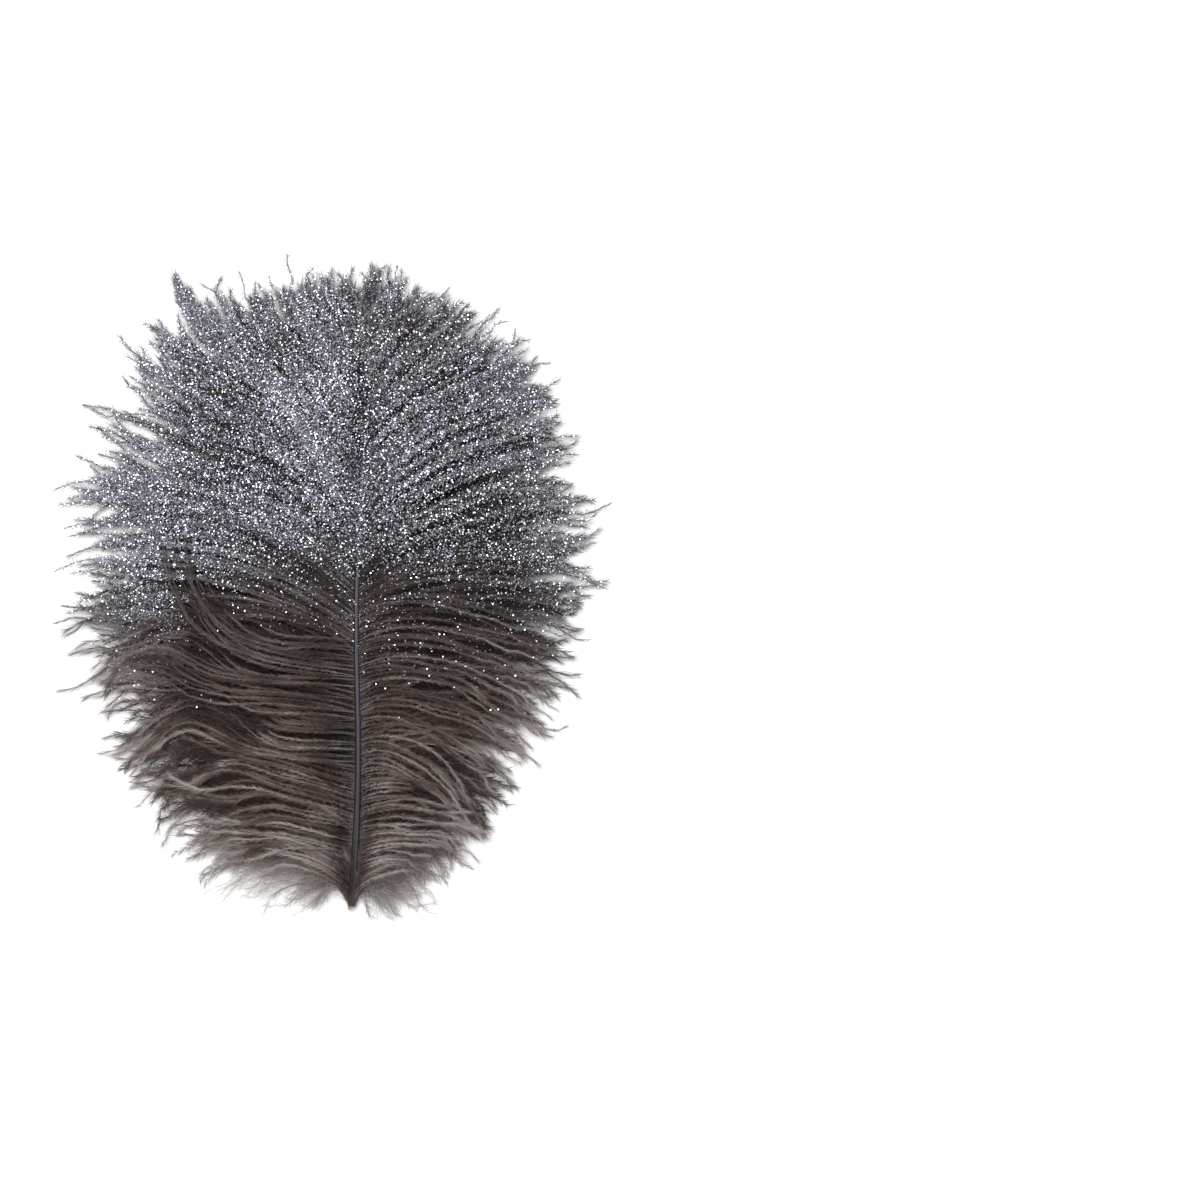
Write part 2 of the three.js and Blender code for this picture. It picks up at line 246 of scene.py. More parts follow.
# Loose locks: each parts in two cords of barbs that lie close together. Arch, tips and their
# height are in mm, turns in degrees.
CURL_PULL, CURL_ARCH, CURL_TIP_HEIGHT, CURL_FRIZZ = 0.52, 8.5, 7.0, 0.35
CORD_ROOT, CORD_ROOT_SPREAD, CORD_SHARE = 0.5, (-0.16, 0.16), 0.011
CORD_TIP, CORD_TIP_SPREAD, CORD_TURNS = (1.1, 0.8), 0.5, (3, 6)
CORD_ARCH, CORD_ARCH_STEP, CORD_ARCH_SPREAD = 0.9, 0.08, (-0.06, 0.06)
CURL_HEIGHT, CURL_HEIGHT_SPREAD, CURL_REACH = 0.6, 0.5, (0.84, 1.0)
CURL_TONE, CURL_COVER, CURL_FLUFF = (0.52, 0.14, 1), (0.6, -0.2), 0.9
CURL_SHADOW, CURL_SHADE = (0.55, 1.0), 0.8

# Glitter, in mm and shares. Its lower edge lies lower toward the outline, in the right vane and in
# one patch beside the loose locks: across, up, radius, and how far it drops.
FLAKE_CELL, FLAKE_SCATTER, FLAKE_TRIES, FLAKE_LIFT = 0.6, 0.5, 12, (0.25, 0.8)
EDGE_SLOPE, EDGE_SCATTER = 0.18, 4.0
RIGHT_DROP, RIGHT_DROP_SPAN = 4, (3, 18)
LOW_PATCH = (-54, 88, 15, 13)
SPARSE_SPAN, SPARSE_CHANCE, DENSE_SPAN, DENSE_CHANCE = (58, 88), 0.06, (91, 116), 0.94
OUTER_SPAN, OUTER_LOSS, RIGHT_FROM, RIGHT_CHANCE = (48, 80), 0.2, 4, 0.8
SHAFT_LOSS, SHAFT_LOSS_WIDTH, CURL_CHANCE, SEEN_DEPTH = 0.55, 5, 0.15, 3.2
RIDGE_FROM, RIDGE_DEPTH, PLAN_MARGIN, HEIGHT_STEPS = 0.35, 0.3, 2, 8
LAST_SPOT = POINTS_PER_BARB - 1.001
# Patches with less glitter: across, up, radius in mm and share lost.
BARE_PATCHES = ((17, 162, 9, 0.6), (-17, 163, 7, 0.35), (40, 100, 14, 0.3))


def linear(hex_colour):
    """Linear RGB of an sRGB hex colour."""
    values = [int(hex_colour[i:i + 2], 16) / 255 for i in (1, 3, 5)]
    return tuple(v / 12.92 if v <= 0.04045 else ((v + 0.055) / 1.055) ** 2.4 for v in values)


def add_node(tree, kind, inputs=None, out=0, **settings):
    """Add a node, set its properties, set or link its inputs, and return one of its outputs."""
    made = tree.nodes.new(kind)
    for key, value in settings.items():
        setattr(made, key, value)
    for key, value in (inputs or {}).items():
        if isinstance(value, bpy.types.NodeSocket):
            tree.links.new(value, made.inputs[key])
        else:
            made.inputs[key].default_value = value
    return made.outputs[out] if made.outputs else None


def along(table, share):
    """Smooth value at each share along a short table of (share, value) points."""
    knots, values = np.array(table, dtype=float).T
    slopes = np.empty_like(values)
    slopes[1:-1] = (values[2:] - values[:-2]) / (knots[2:] - knots[:-2])
    slopes[0] = (values[1] - values[0]) / (knots[1] - knots[0])
    slopes[-1] = (values[-1] - values[-2]) / (knots[-1] - knots[-2])
    share = np.asarray(share, dtype=float)
    i = np.clip(np.searchsorted(knots, share) - 1, 0, len(knots) - 2)
    span = knots[i + 1] - knots[i]
    t = (share - knots[i]) / span
    ease = t * t * (3 - 2 * t)
    bend = t * (1 - t) * ((1 - t) * slopes[i] - t * slopes[i + 1])
    return values[i] * (1 - ease) + values[i + 1] * ease + span * bend


def smooth(low, high, x):
    """Smooth step from 0 at low to 1 at high."""
    t = np.clip((np.asarray(x, dtype=float) - low) / (high - low), 0, 1)
    return t * t * (3 - 2 * t)


def wobble(k, seed):
    """Repeatable unevenness between -1 and 1 for the lock numbered k."""
    return np.sin(WOBBLE_STEP * k * seed + WOBBLE_START * seed)


def shaft_across(y):
    sway = np.sin(2 * np.pi * (y - SWAY_START) / SWAY_PERIOD)
    return SHAFT_OFFSET + SHAFT_LEAN * y + SHAFT_SWAY * sway


def shaft_radius(y):
    return QUILL_RADIUS + (SHAFT_TIP_RADIUS - QUILL_RADIUS) * np.clip(y / SHAFT_LENGTH, 0, 1)


def shaft_height(y):
    share = np.clip(y / SHAFT_LENGTH, 0, 1)
    return QUILL_RADIUS + SHAFT_ARCH * np.sin(np.pi * share * ARCH_WAVE)


def cut_end():
    """Place of the middle of the cut end in the frame, read from the shaft's node, in mm."""
    low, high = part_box("shaft")
    tip_x = high[0] / MM - shaft_across(SHAFT_LENGTH) - SHAFT_TIP_RADIUS
    return np.array([tip_x, low[1] / MM + CUT_SLANT, 0.0])


CUT_END = cut_end()


def heading(degrees, side):
    a = np.radians(degrees)
    return np.stack([side * np.sin(a), np.cos(a)], axis=-1)


def root_points(share, side):
    """Where barbs leave the flank of the shaft."""
    y = VANE_START + (SHAFT_LENGTH - VANE_START) * share
    return np.stack([shaft_across(y) + side * ROOT_DEPTH * shaft_radius(y), y], axis=-1)


def lock_tips(share, k, side, uneven):
    """Tip of a barb rooted at a share and carried by lock k, by how uneven the locks are."""
    tip = np.stack([side * along(ACROSS[side], share), along(UP[side], share)], axis=-1)
    stretch = 1 + uneven * REACH_WOBBLE * wobble(k, REACH_SEED[side])
    root = root_points(share, side)
    tip = root + (tip - root) * stretch[..., None]
    tip[..., 1] += uneven * TIP_WOBBLE * wobble(k, TIP_SEED)
    return tip


def bezier(root, tip, leave, arrive, pull, side, u):
    """Plan points of each barb at its own shares u of the way to its tip."""
    reach = pull * np.linalg.norm(tip - root, axis=-1, keepdims=True)
    first = root + reach * heading(leave, side)
    second = tip - reach * heading(arrive, side)
    u = u[..., None]
    v = 1 - u
    root, first, second, tip = (p[:, None, :] for p in (root, first, second, tip))
    return v**3 * root + 3 * u * v**2 * first + 3 * u**2 * v * second + u**3 * tip


class Barbs:
    """A bundle of barb lines with what the node tree and the material need to dress them."""

    def __init__(self, points, grow, tone, fluff, shade):
        self.points, self.grow, self.tone, self.fluff, self.shade = points, grow, tone, fluff, shade

    def __add__(self, other):
        return Barbs(*(np.concatenate([getattr(self, key), getattr(other, key)]) for key in (
            "points", "grow", "tone", "fluff", "shade")))


def shape_barbs(root, tip, leave, arrive, side, arch, height, reach, rng,
                raised=STILL, pull=PATH_PULL, end_height=0.0, frizz=1.0, sway=(STILL, STILL)):
    """Bend barbs along their lock, arch them off the surface and ruffle their ends."""
    count = len(root)
    grow = np.linspace(0, 1, POINTS_PER_BARB)[None, :]
    u = grow * reach[:, None]
    plan = bezier(root, tip, leave, arrive, pull, side, u)
    along_barb = np.gradient(plan, axis=1)
    along_barb /= np.linalg.norm(along_barb, axis=-1, keepdims=True)
    across = np.stack([-along_barb[..., 1], along_barb[..., 0]], axis=-1)
    length = np.linalg.norm(tip - root, axis=-1)[:, None]
    ruffle = 0
    for low, high, size, start in RUFFLES:
        wave = rng.uniform(low, high, (count, 1))
        phase = rng.uniform(0, 2 * np.pi, (count, 1))
        ripple = np.sin(2 * np.pi * u * length / wave + phase)
        ruffle = ruffle + frizz * size * smooth(start, RUFFLE_FULL, u) * ripple
    loose = np.clip(u - LOOSE_FROM, 0, 1) ** 2 / LOOSE_FROM**2
    splay = frizz * rng.uniform(-SPLAY, SPLAY, (count, 1)) * loose
    size, phase = sway
    swing = np.sin(2 * np.pi * u * length / LOCK_WAVE + phase[:, None])
    swing = size[:, None] * smooth(*SWAY_SPAN, u) * swing
    plan = plan + across * (ruffle + splay + swing)[..., None]
    thickness = along(LOCK_THICKNESS, np.clip(u, 0, 1))
    root_height = shaft_height(root[:, 1])[:, None]
    fall = smooth(0, FALL_END, u)
    rise = arch[:, None] * ARCH_PEAK * u * (1 - u) ** 2
    middle = root_height * (1 - fall) + end_height * fall + rise
    bottom = np.maximum(middle - thickness / 2, LOCK_GAP)
    z = bottom + thickness * (0.5 + (height[:, None] - 0.5) * smooth(0, LAYERS_PART, u))
    z = z + raised[:, None] * smooth(*RAISE_SPAN, u)
    covers = smooth(*SHAFT_COVERED, root[:, 1:2])
    z = z + covers * COVER_LIFT * shaft_radius(root[:, 1:2]) * (1 - smooth(0, COVER_END, u))
    z = z + np.abs(rng.standard_normal((count, 1))) * END_LIFT * loose
    z = np.maximum(z + RUFFLE_LIFT * ruffle, BARB_GAP)
    return np.concatenate([plan, z[..., None]], axis=-1), np.broadcast_to(grow, u.shape), u * length


def barbule_cover(root, tip, reach, run, bare, ends):
    """Share of full barbule length along a barb: bare near the shaft, longer or shorter at the tip."""
    length = (np.linalg.norm(tip - root, axis=-1) * reach)[:, None]
    return smooth(bare, bare + COVER_RISE, run) * (1 + ends * smooth(*ENDS_SPAN, run / length))


def vane_traits(side, layer, share):
    """How far each trait holds for barbs rooted at each share: 0 not at all, 1 fully."""
    traits = SimpleNamespace()
    for name, stretches in TRAITS.items():
        start, full, fade, end = stretches.get(side, NOWHERE)
        setattr(traits, name, smooth(start, full, share) * (1 - smooth(fade, end, share)))
    traits.messy = traits.messy * (layer == "top")
    traits.droop = traits.droop * LAYERS[layer].droop
    return traits


def vane_paths(side, layer, share, k, uneven, traits, rng):
    """Roots, tips and headings of the barbs of one layer, gathered in locks."""
    kind = LAYERS[layer]
    count = len(share)
    lock_share = (k + 0.5) / LOCKS_PER_SIDE
    clump = kind.clump * (1 + LOOSE_CLUMP * traits.loose) * (1 - EVEN_CLUMP * traits.even)
    clump = clump + WISPY_CLUMP * traits.wispy * (layer == "middle")
    root = root_points(share, side)
    root[:, 0] -= side * ROOT_TUCK * traits.tucked
    ahead = kind.ahead[side] * traits.ahead
    own, shared = (lock_tips(np.clip(s + ahead, 0, 1), k, side, uneven) for s in (share, lock_share))
    tip = own + (shared - own) * clump[:, None]
    tip += rng.uniform(-1, 1, (count, 2)) * kind.scatter
    spot = share * (1 - clump) + lock_share * clump + np.minimum(ahead, 0)
    arrive = along(TIP_HEADING[side], spot)
    arrive = arrive + DROOP_TURN[side] * traits.droop - CROWN_TURN * traits.crown
    unlike = uneven * (1 + DROOP_WOBBLE[side] * traits.droop)
    arrive = arrive + unlike * HEADING_WOBBLE * wobble(k, HEADING_SEED + side)
    arrive = arrive + (ARRIVE_SCATTER + MESSY_SCATTER * traits.messy) * rng.standard_normal(count)
    leave = along(ROOT_HEADING, share) * (1 - UPRIGHT_TURN * traits.upright)
    leave = leave + SQUARE_TURN[side] * traits.square + CROWN_LEAVE * traits.crown
    leave = leave - AHEAD_LEAVE * np.maximum(ahead, 0) + LEAVE_SCATTER * rng.standard_normal(count)
    tip[:, 1] += FOOT_LIFT * traits.foot
    return root, tip, leave, arrive


def in_hollow(share, hollow):
    first, last = hollow[:2]
    return (share > first) & (share < last)


def vane_reach(side, layer, share, traits, rng):
    """Share of the way to the tip that each barb reaches."""
    kind = LAYERS[layer]
    count = len(share)
    usual = kind.reach + (kind.crown_reach - kind.reach) * traits.topmost
    usual = usual - WISPY_SHORT * traits.wispy * (layer == "under")
    reach = np.clip(usual + kind.reach_spread * rng.standard_normal(count), *REACH_RANGE)
    reach = reach * (1 - traits.messy * rng.uniform(*MESSY_SHORT, count))
    for hollow in HOLLOWS[side] if layer == "top" else ():
        short = hollow[2] * rng.uniform(*HOLLOW_RANGE, count)
        reach = np.where(in_hollow(share, hollow), short, reach)
    return reach


def vane_tone(side, layer, share, traits, rng):
    """How pale each barb is: paler at the foot, duller across the middle of the right vane, and darker
    in the middle layer under the hollows, as painted shade.
    """
    kind = LAYERS[layer]
    tone = kind.tone + kind.tone_spread * rng.standard_normal(len(share))
    tone = tone + (kind.pale + RIGHT_PALE * (side == RIGHT)) * traits.faded
    tone = tone - kind.dull * traits.dull + SOFT_TONE * traits.soft * (layer == "middle")
    # Middle barbs that lie under the hollows are darkened as painted shade.
    for hollow in HOLLOWS[side] if layer == "middle" else ():
        tone = np.where(in_hollow(share, hollow), HOLLOW_PAINTED_SHADE * tone, tone)
    return np.clip(tone, 0, 1)


def vane_shade(side, layer, share, traits, grow, run):
    """Shadow under the loose locks, at the roots beside the cut end and in the hollows."""
    shade = traits.covered[:, None] * (1 - smooth(*LOCK_SHADOW, run))
    shade = np.maximum(shade, ROOT_SHADE * traits.rooted[:, None] * (1 - smooth(*ROOT_SHADOW, run)))
    for hollow in HOLLOWS[side] if layer == "top" else ():
        deep = HOLLOW_SHADE * in_hollow(share, hollow)[:, None] * smooth(*HOLLOW_SHADOW, grow)
        shade = np.maximum(shade, deep)
    return shade


def vane_barbs(side, layer, settings):
    """Barbs of one layer of one vane."""
    kind = LAYERS[layer]
    rng = np.random.default_rng(settings.seed + LAYER_SEED * kind.number + side)
    count = round(settings.barbs * kind.crowd)
    share = (np.arange(count) + 0.5 + rng.uniform(*ROOT_JITTER, count)) / count
    share = 1 - (1 - kind.start) * (1 - share) ** TIP_CROWDING
    k = np.clip((share * LOCKS_PER_SIDE).astype(int), 0, LOCKS_PER_SIDE - 1)
    traits = vane_traits(side, layer, share)
    uneven = kind.uneven * (1 - EVEN_LOCKS * traits.even)
    root, tip, leave, arrive = vane_paths(side, layer, share, k, uneven, traits, rng)
    arch = np.array(LOCK_ARCH)[k % 2] * rng.uniform(*ARCH_RANGE, count)
    arch = arch * (1 - PRESSED_ARCH * traits.pressed)
    top = layer == "top"
    height = kind.height + rng.uniform(*HEIGHT_RANGE, count) - COVERED_DROP * traits.covered * top
    raised = LOCK_RAISE * (1 + wobble(k, RAISE_SEED)) * (1 - traits.even) * (1 - traits.covered) * top
    reach = vane_reach(side, layer, share, traits, rng)
    sway = DROOP_SWAY[side] * traits.droop * (layer != "under"), np.pi * wobble(k, SWAY_SEED)
    points, grow, run = shape_barbs(
        root, tip, leave, arrive, side, arch, height, reach, rng, raised=raised, sway=sway)
    tone = vane_tone(side, layer, share, traits, rng)
    bare = kind.bare * (1 - CLOSED_BARE * traits.closed)
    ends = kind.ends + DROOP_ENDS * traits.droop * top
    ends = ends - PARTED_ENDS[side] * traits.parted * (layer != "under")
    fluff = barbule_cover(root, tip, reach, run, bare[:, None], ends[:, None])
    return Barbs(points, grow, tone, fluff, vane_shade(side, layer, share, traits, grow, run))


def dress_barbs(root, tip, leave, arrive, side, arch, height, reach, tone, cover, rng, **shape):
    """Shape barbs and give each its dye and its barbules."""
    points, grow, run = shape_barbs(root, tip, leave, arrive, side, arch, height, reach, rng, **shape)
    mean, spread, most = tone
    tone = np.clip(mean + spread * rng.standard_normal(len(root)), 0, most)
    return Barbs(points, grow, tone, barbule_cover(root, tip, reach, run, *cover), 0 * run)


def down_barbs(side, settings):
    """Loose pale downy barbs at the foot of the vane that spread round the cut end."""
    rng = np.random.default_rng(settings.seed + DOWN_SEED + side)
    count = settings.barbs_of_down
    share = rng.uniform(*DOWN_ROOTS, count)
    across = rng.uniform(DOWN_LEAST, DOWN_MOST[side], count)
    root = root_points(share * np.clip(across / DOWN_ROOT_REACH, 0, 1), side)
    up = DOWN_LOW + DOWN_SLOPE * across + rng.uniform(*DOWN_SCATTER, count)
    tip = np.stack([side * across, up], axis=-1)
    leave, arrive, reach, arch, height = (rng.uniform(*span, count) for span in DOWN_SPANS)
    return dress_barbs(
        root, tip, leave, arrive, side, arch, height, reach, DOWN_TONE, DOWN_COVER, rng)


def foot_barbs(side, settings):
    """Short steep barbs that close the vane in a V down to the cut end."""
    rng = np.random.default_rng(settings.seed + FOOT_SEED + side)
    count = settings.barbs_of_foot
    root = root_points(np.linspace(*FOOT_ROOTS, count), side)
    across = side * rng.uniform(*FOOT_ACROSS, count)
    tip = np.stack([across, root[:, 1] + rng.uniform(*FOOT_UP, count)], axis=-1)
    leave, arrive, reach, arch, height = (rng.uniform(*span, count) for span in FOOT_SPANS)
    return dress_barbs(
        root, tip, leave, arrive, side, arch, height, reach, FOOT_TONE, FOOT_COVER, rng,
        end_height=FOOT_END_HEIGHT)


def stray_barbs(side, settings):
    """Barbs of the stray locks that give the outline its ragged corners."""
    rng = np.random.default_rng(settings.seed + STRAY_SEED + side)
    share, across, up, arrive = np.repeat(STRAY_LOCKS[side], settings.barbs_per_stray, axis=0).T
    count = len(share)
    share = np.clip(share + rng.uniform(*STRAY_ROOTS, count), 0, 1)
    root = root_points(share, side)
    tip = np.stack([side * across, up], axis=-1) + rng.standard_normal((count, 2)) * STRAY_TIPS
    leave = along(ROOT_HEADING, share) + STRAY_TURNS[0] * rng.standard_normal(count)
    arrive = arrive + STRAY_TURNS[1] * rng.standard_normal(count)
    arch = np.full(count, LOCK_ARCH[0])
    reach = rng.uniform(*STRAY_REACH, count)
    height = rng.uniform(*STRAY_HEIGHT, count)
    return dress_barbs(
        root, tip, leave, arrive, side, arch, height, reach, STRAY_TONE, STRAY_COVER, rng)


def curl_barbs(settings):
    """Barbs of the loose locks that lie on the left vane and sweep up toward the tip."""
    rng = np.random.default_rng(settings.seed + CURL_SEED)
    each = settings.barbs_per_curl
    bundles = []
    for share, across, up, leave, arrive in CURLED_LOCKS:
        cord = np.where(np.arange(each) % 2, 1.0, -1.0)
        spot = CORD_ROOT * cord + rng.uniform(*CORD_ROOT_SPREAD, each)
        root = root_points(np.clip(share + CORD_SHARE * spot, 0, 1), LEFT)
        tip = np.array([-across, up], dtype=float) + np.outer(cord, CORD_TIP)
        tip = tip + rng.standard_normal((each, 2)) * CORD_TIP_SPREAD
        leave = leave + CORD_TURNS[0] * rng.standard_normal(each)
        arrive = arrive + CORD_TURNS[1] * rng.standard_normal(each)
        height = CURL_HEIGHT + CURL_HEIGHT_SPREAD * rng.uniform(0, 1, each)
        step = CORD_ARCH_STEP * cord * rng.uniform(0, 1)
        arch = CURL_ARCH * (CORD_ARCH + step + rng.uniform(*CORD_ARCH_SPREAD, each))
        reach = rng.uniform(*CURL_REACH, each)
        lock = dress_barbs(
            root, tip, leave, arrive, LEFT, arch, height, reach, CURL_TONE, CURL_COVER, rng,
            pull=CURL_PULL, end_height=CURL_TIP_HEIGHT, frizz=CURL_FRIZZ)
        lock.fluff = CURL_FLUFF * lock.fluff
        lock.shade = CURL_SHADE * smooth(*CURL_SHADOW, lock.grow)
        bundles.append(lock)
    return functools.reduce(Barbs.__add__, bundles)


def barb_lines(name, barbs):
    """Mesh of one open edge line for each barb, with its attributes on the points."""
    count, per = barbs.grow.shape
    mesh = bpy.data.meshes.new(name)
    verts = (barbs.points.reshape(-1, 3) + CUT_END) * MM
    first = np.arange(count * per).reshape(count, per)
    edges = np.stack([first[:, :-1].ravel(), first[:, 1:].ravel()], axis=-1)
    mesh.from_pydata(verts.tolist(), edges.tolist(), [])
    for key, values in (
        ("grow", barbs.grow), ("fluff", barbs.fluff), ("shade", barbs.shade),
        ("tone", np.repeat(barbs.tone, per)), ("row", np.repeat(np.arange(count), per)),
    ):
        layer = mesh.attributes.new(key, "FLOAT", "POINT")
        layer.data.foreach_set("value", np.ascontiguousarray(values, dtype=np.float32).ravel())
    return mesh


def add_sockets(tree, inputs):
    """Give a node tree its geometry sockets and its named inputs."""
    sockets = tree.interface
    sockets.new_socket("Geometry", in_out="INPUT", socket_type="NodeSocketGeometry")
    for kind, names in inputs.items():
        for name in names:
            sockets.new_socket(name, in_out="INPUT", socket_type="NodeSocket" + kind)
    sockets.new_socket("Geometry", in_out="OUTPUT", socket_type="NodeSocketGeometry")


BARB_INPUTS = {
    "Float": ("Barb Radius", "Barbule Spacing", "Barbule Length", "Barbule Width", "Barbule Angle",
              "Barbule Rise", "Rows"),
    "Int": ("Barbules Round", "Seed"),
    "Material": ("Material",),
}
FLAKE_INPUTS = {"Float": ("Flake Radius", "Columns"), "Int": ("Seed",), "Material": ("Material",)}
# What differs from one barbule or flake to the next: step of the seed, least and most.
BARBULE_CHANCE = {
    "lean": (1, -0.2, 0.3), "about": (2, -math.pi, math.pi), "reach": (4, 0.5, 1.2),
    "face_x": (6, -0.7, 0.7), "face_y": (7, -0.7, 0.7),
}
FLAKE_CHANCE = {
    "tint": (1, 0.0, 1.0), "tilt_x": (2, -0.6, 0.6), "tilt_y": (3, -0.6, 0.6),
    "turn": (4, 0.0, 6.28), "size": (5, 0.7, 1.25),
}
# Kinds of node that are used many times, and their settings.
MATH, MAP_RANGE, MIX = "ShaderNodeMath", "ShaderNodeMapRange", "ShaderNodeMix"
JOIN_XYZ, SPLIT_XYZ = "ShaderNodeCombineXYZ", "ShaderNodeSeparateXYZ"
RANDOM, ATTRIBUTE = "FunctionNodeRandomValue", "ShaderNodeAttribute"
STORE, STORED = "GeometryNodeStoreNamedAttribute", "GeometryNodeInputNamedAttribute"
ON_POINTS = {"data_type": "FLOAT", "domain": "POINT"}
ON_CORNERS = {"data_type": "FLOAT2", "domain": "CORNER"}
FACE_UP = {"primary_axis": "Y", "secondary_axis": "Z"}
SMOOTH = {"interpolation_type": "SMOOTHSTEP"}
# A barb's sides, how much it thins to its tip, its thickness where it has no barbules, and how
# far out on a barbule it matches in painted highlight and painted shade. Barbules close up and narrow
# toward the barb's end, and there are none where the fringe is shorter than the least.
CORE_SIDES, CORE_THINNING, CORE_BARE, CORE_OUT = 3, 0.75, 0.7, 0.45
CLOSE_FROM, CLOSE_LEAN, NARROW_SPAN, NARROW_WIDTH = 0.8, 0.8, (0.5, 0.95), 0.36
FRINGE_LEAST, LOWEST = 0.06, 0.05 * MM
# Margins and sizes of a barb's row and of a flake's square in the map, as shares.
MAP_START, MAP_LENGTH, MAP_ASIDE, ROW_START, ROW_WIDTH = 0.02, 0.96, 0.01, 0.1, 0.8
SQUARE_MIDDLE, SQUARE_HALF = 0.5, 0.4


def barb_core(add, given, curves, grow, fluff):
    """Thin three-sided rod along each barb that tapers to its tip."""
    index = add("GeometryNodeInputIndex")
    corner = add(MATH, {0: index, 1: CORE_SIDES}, operation="DIVIDE")
    ring = add("GeometryNodeCurvePrimitiveCircle", {"Resolution": CORE_SIDES, "Radius": 1.0})
    ring = add(STORE, {"Geometry": ring, "Name": "spot_v", "Value": corner}, **ON_POINTS)
    thin = add(MATH, {0: grow, 1: -CORE_THINNING, 2: 1.0}, operation="MULTIPLY_ADD")
    full = add(MATH, {0: fluff, 1: 1 - CORE_BARE, 2: CORE_BARE}, operation="MULTIPLY_ADD")
    taper = add(MATH, {0: thin, 1: full}, operation="MULTIPLY")
    thick = add(MATH, {0: taper, 1: given["Barb Radius"]}, operation="MULTIPLY")
    core = add(
        "GeometryNodeCurveToMesh",
        {"Curve": curves, "Profile Curve": ring, "Fill Caps": True, "Scale": thick})
    return add(STORE, {"Geometry": core, "Name": "out", "Value": CORE_OUT}, **ON_POINTS)


def one_barbule(add):
    """Long flat triangle, from its root on the barb to its tip."""
    # It starts as an equal-sided one of radius 1, which is 1.5 high and as wide as the root of 3.
    leaf = add("GeometryNodeMeshCircle", {"Vertices": 3, "Radius": 1.0}, fill_type="NGON")
    leaf = add("GeometryNodeTransform", {
        "Geometry": leaf, "Scale": (1 / 1.5, 1 / math.sqrt(3), 1.0),
        "Rotation": (0.0, 0.0, math.pi / 2), "Translation": (0.0, 1 / 3, 0.0)})
    place = add("GeometryNodeInputPosition")
    place = add(SPLIT_XYZ, {0: place}).node.outputs
    for name, axis in (("out", "Y"), ("spot_v", "Y"), ("spot_u", "X")):
        leaf = add(STORE, {"Geometry": leaf, "Name": name, "Value": place[axis]}, **ON_POINTS)
    return leaf


def barb_fringe(add, given, curves, grow, fluff):
    """Barbules that lean out all round the barbs and turn their flat sides up as far as they can."""
    chance = {}
    for name, (step, least, most) in BARBULE_CHANCE.items():
        seed = add(MATH, {0: given["Seed"], 1: step}, operation="ADD")
        chance[name] = add(RANDOM, {2: least, 3: most, "Seed": seed}, 1, data_type="FLOAT")
    spread = add(
        "GeometryNodeCurveToPoints",
        {"Curve": curves, "Length": given["Barbule Spacing"]}, mode="LENGTH").node.outputs
    tufts = add(
        "GeometryNodeDuplicateElements",
        {"Geometry": spread["Points"], "Amount": given["Barbules Round"]}, domain="POINT")
    closing = add(MAP_RANGE, {0: grow, 1: CLOSE_FROM, 2: 1.0, 3: 1.0, 4: CLOSE_LEAN})
    lean = add(MATH, {0: given["Barbule Angle"], 1: chance["lean"]}, operation="ADD")
    lean = add(MATH, {0: lean, 1: closing}, operation="MULTIPLY")
    turn = add(JOIN_XYZ, {0: lean, 1: chance["about"], 2: 0.0})
    turn = add("FunctionNodeEulerToRotation", {0: turn})
    facing = add("FunctionNodeAxesToRotation", {0: spread["Tangent"], 1: (0.0, 0.0, 1.0)}, **FACE_UP)
    facing = add("FunctionNodeRotateRotation", {0: facing, 1: turn}, rotation_space="LOCAL")
    way = add("FunctionNodeRotateVector", {0: (0.0, 1.0, 0.0), 1: facing})
    way = add(SPLIT_XYZ, {0: way}).node.outputs
    rise = add(MATH, {0: way["Z"], 1: given["Barbule Rise"]}, operation="MULTIPLY")
    way = add(JOIN_XYZ, {0: way["X"], 1: way["Y"], 2: rise})
    upward = add(JOIN_XYZ, {0: chance["face_x"], 1: chance["face_y"], 2: 1.0})
    facing = add("FunctionNodeAxesToRotation", {0: way, 1: upward}, **FACE_UP)
    reach = add(MATH, {0: fluff, 1: given["Barbule Length"]}, operation="MULTIPLY")
    reach = add(MATH, {0: reach, 1: chance["reach"]}, operation="MULTIPLY")
    start, end = NARROW_SPAN
    narrow = add(MAP_RANGE, {0: grow, 1: start, 2: end, 3: 1.0, 4: NARROW_WIDTH})
    breadth = add(MATH, {0: narrow, 1: given["Barbule Width"]}, operation="MULTIPLY")
    size = add(JOIN_XYZ, {0: breadth, 1: reach, 2: 1.0})
    fringed = add(MATH, {0: fluff, 1: FRINGE_LEAST}, operation="GREATER_THAN")
    return add("GeometryNodeInstanceOnPoints", {
        "Points": tufts, "Instance": one_barbule(add), "Rotation": facing, "Scale": size,
        "Selection": fringed})


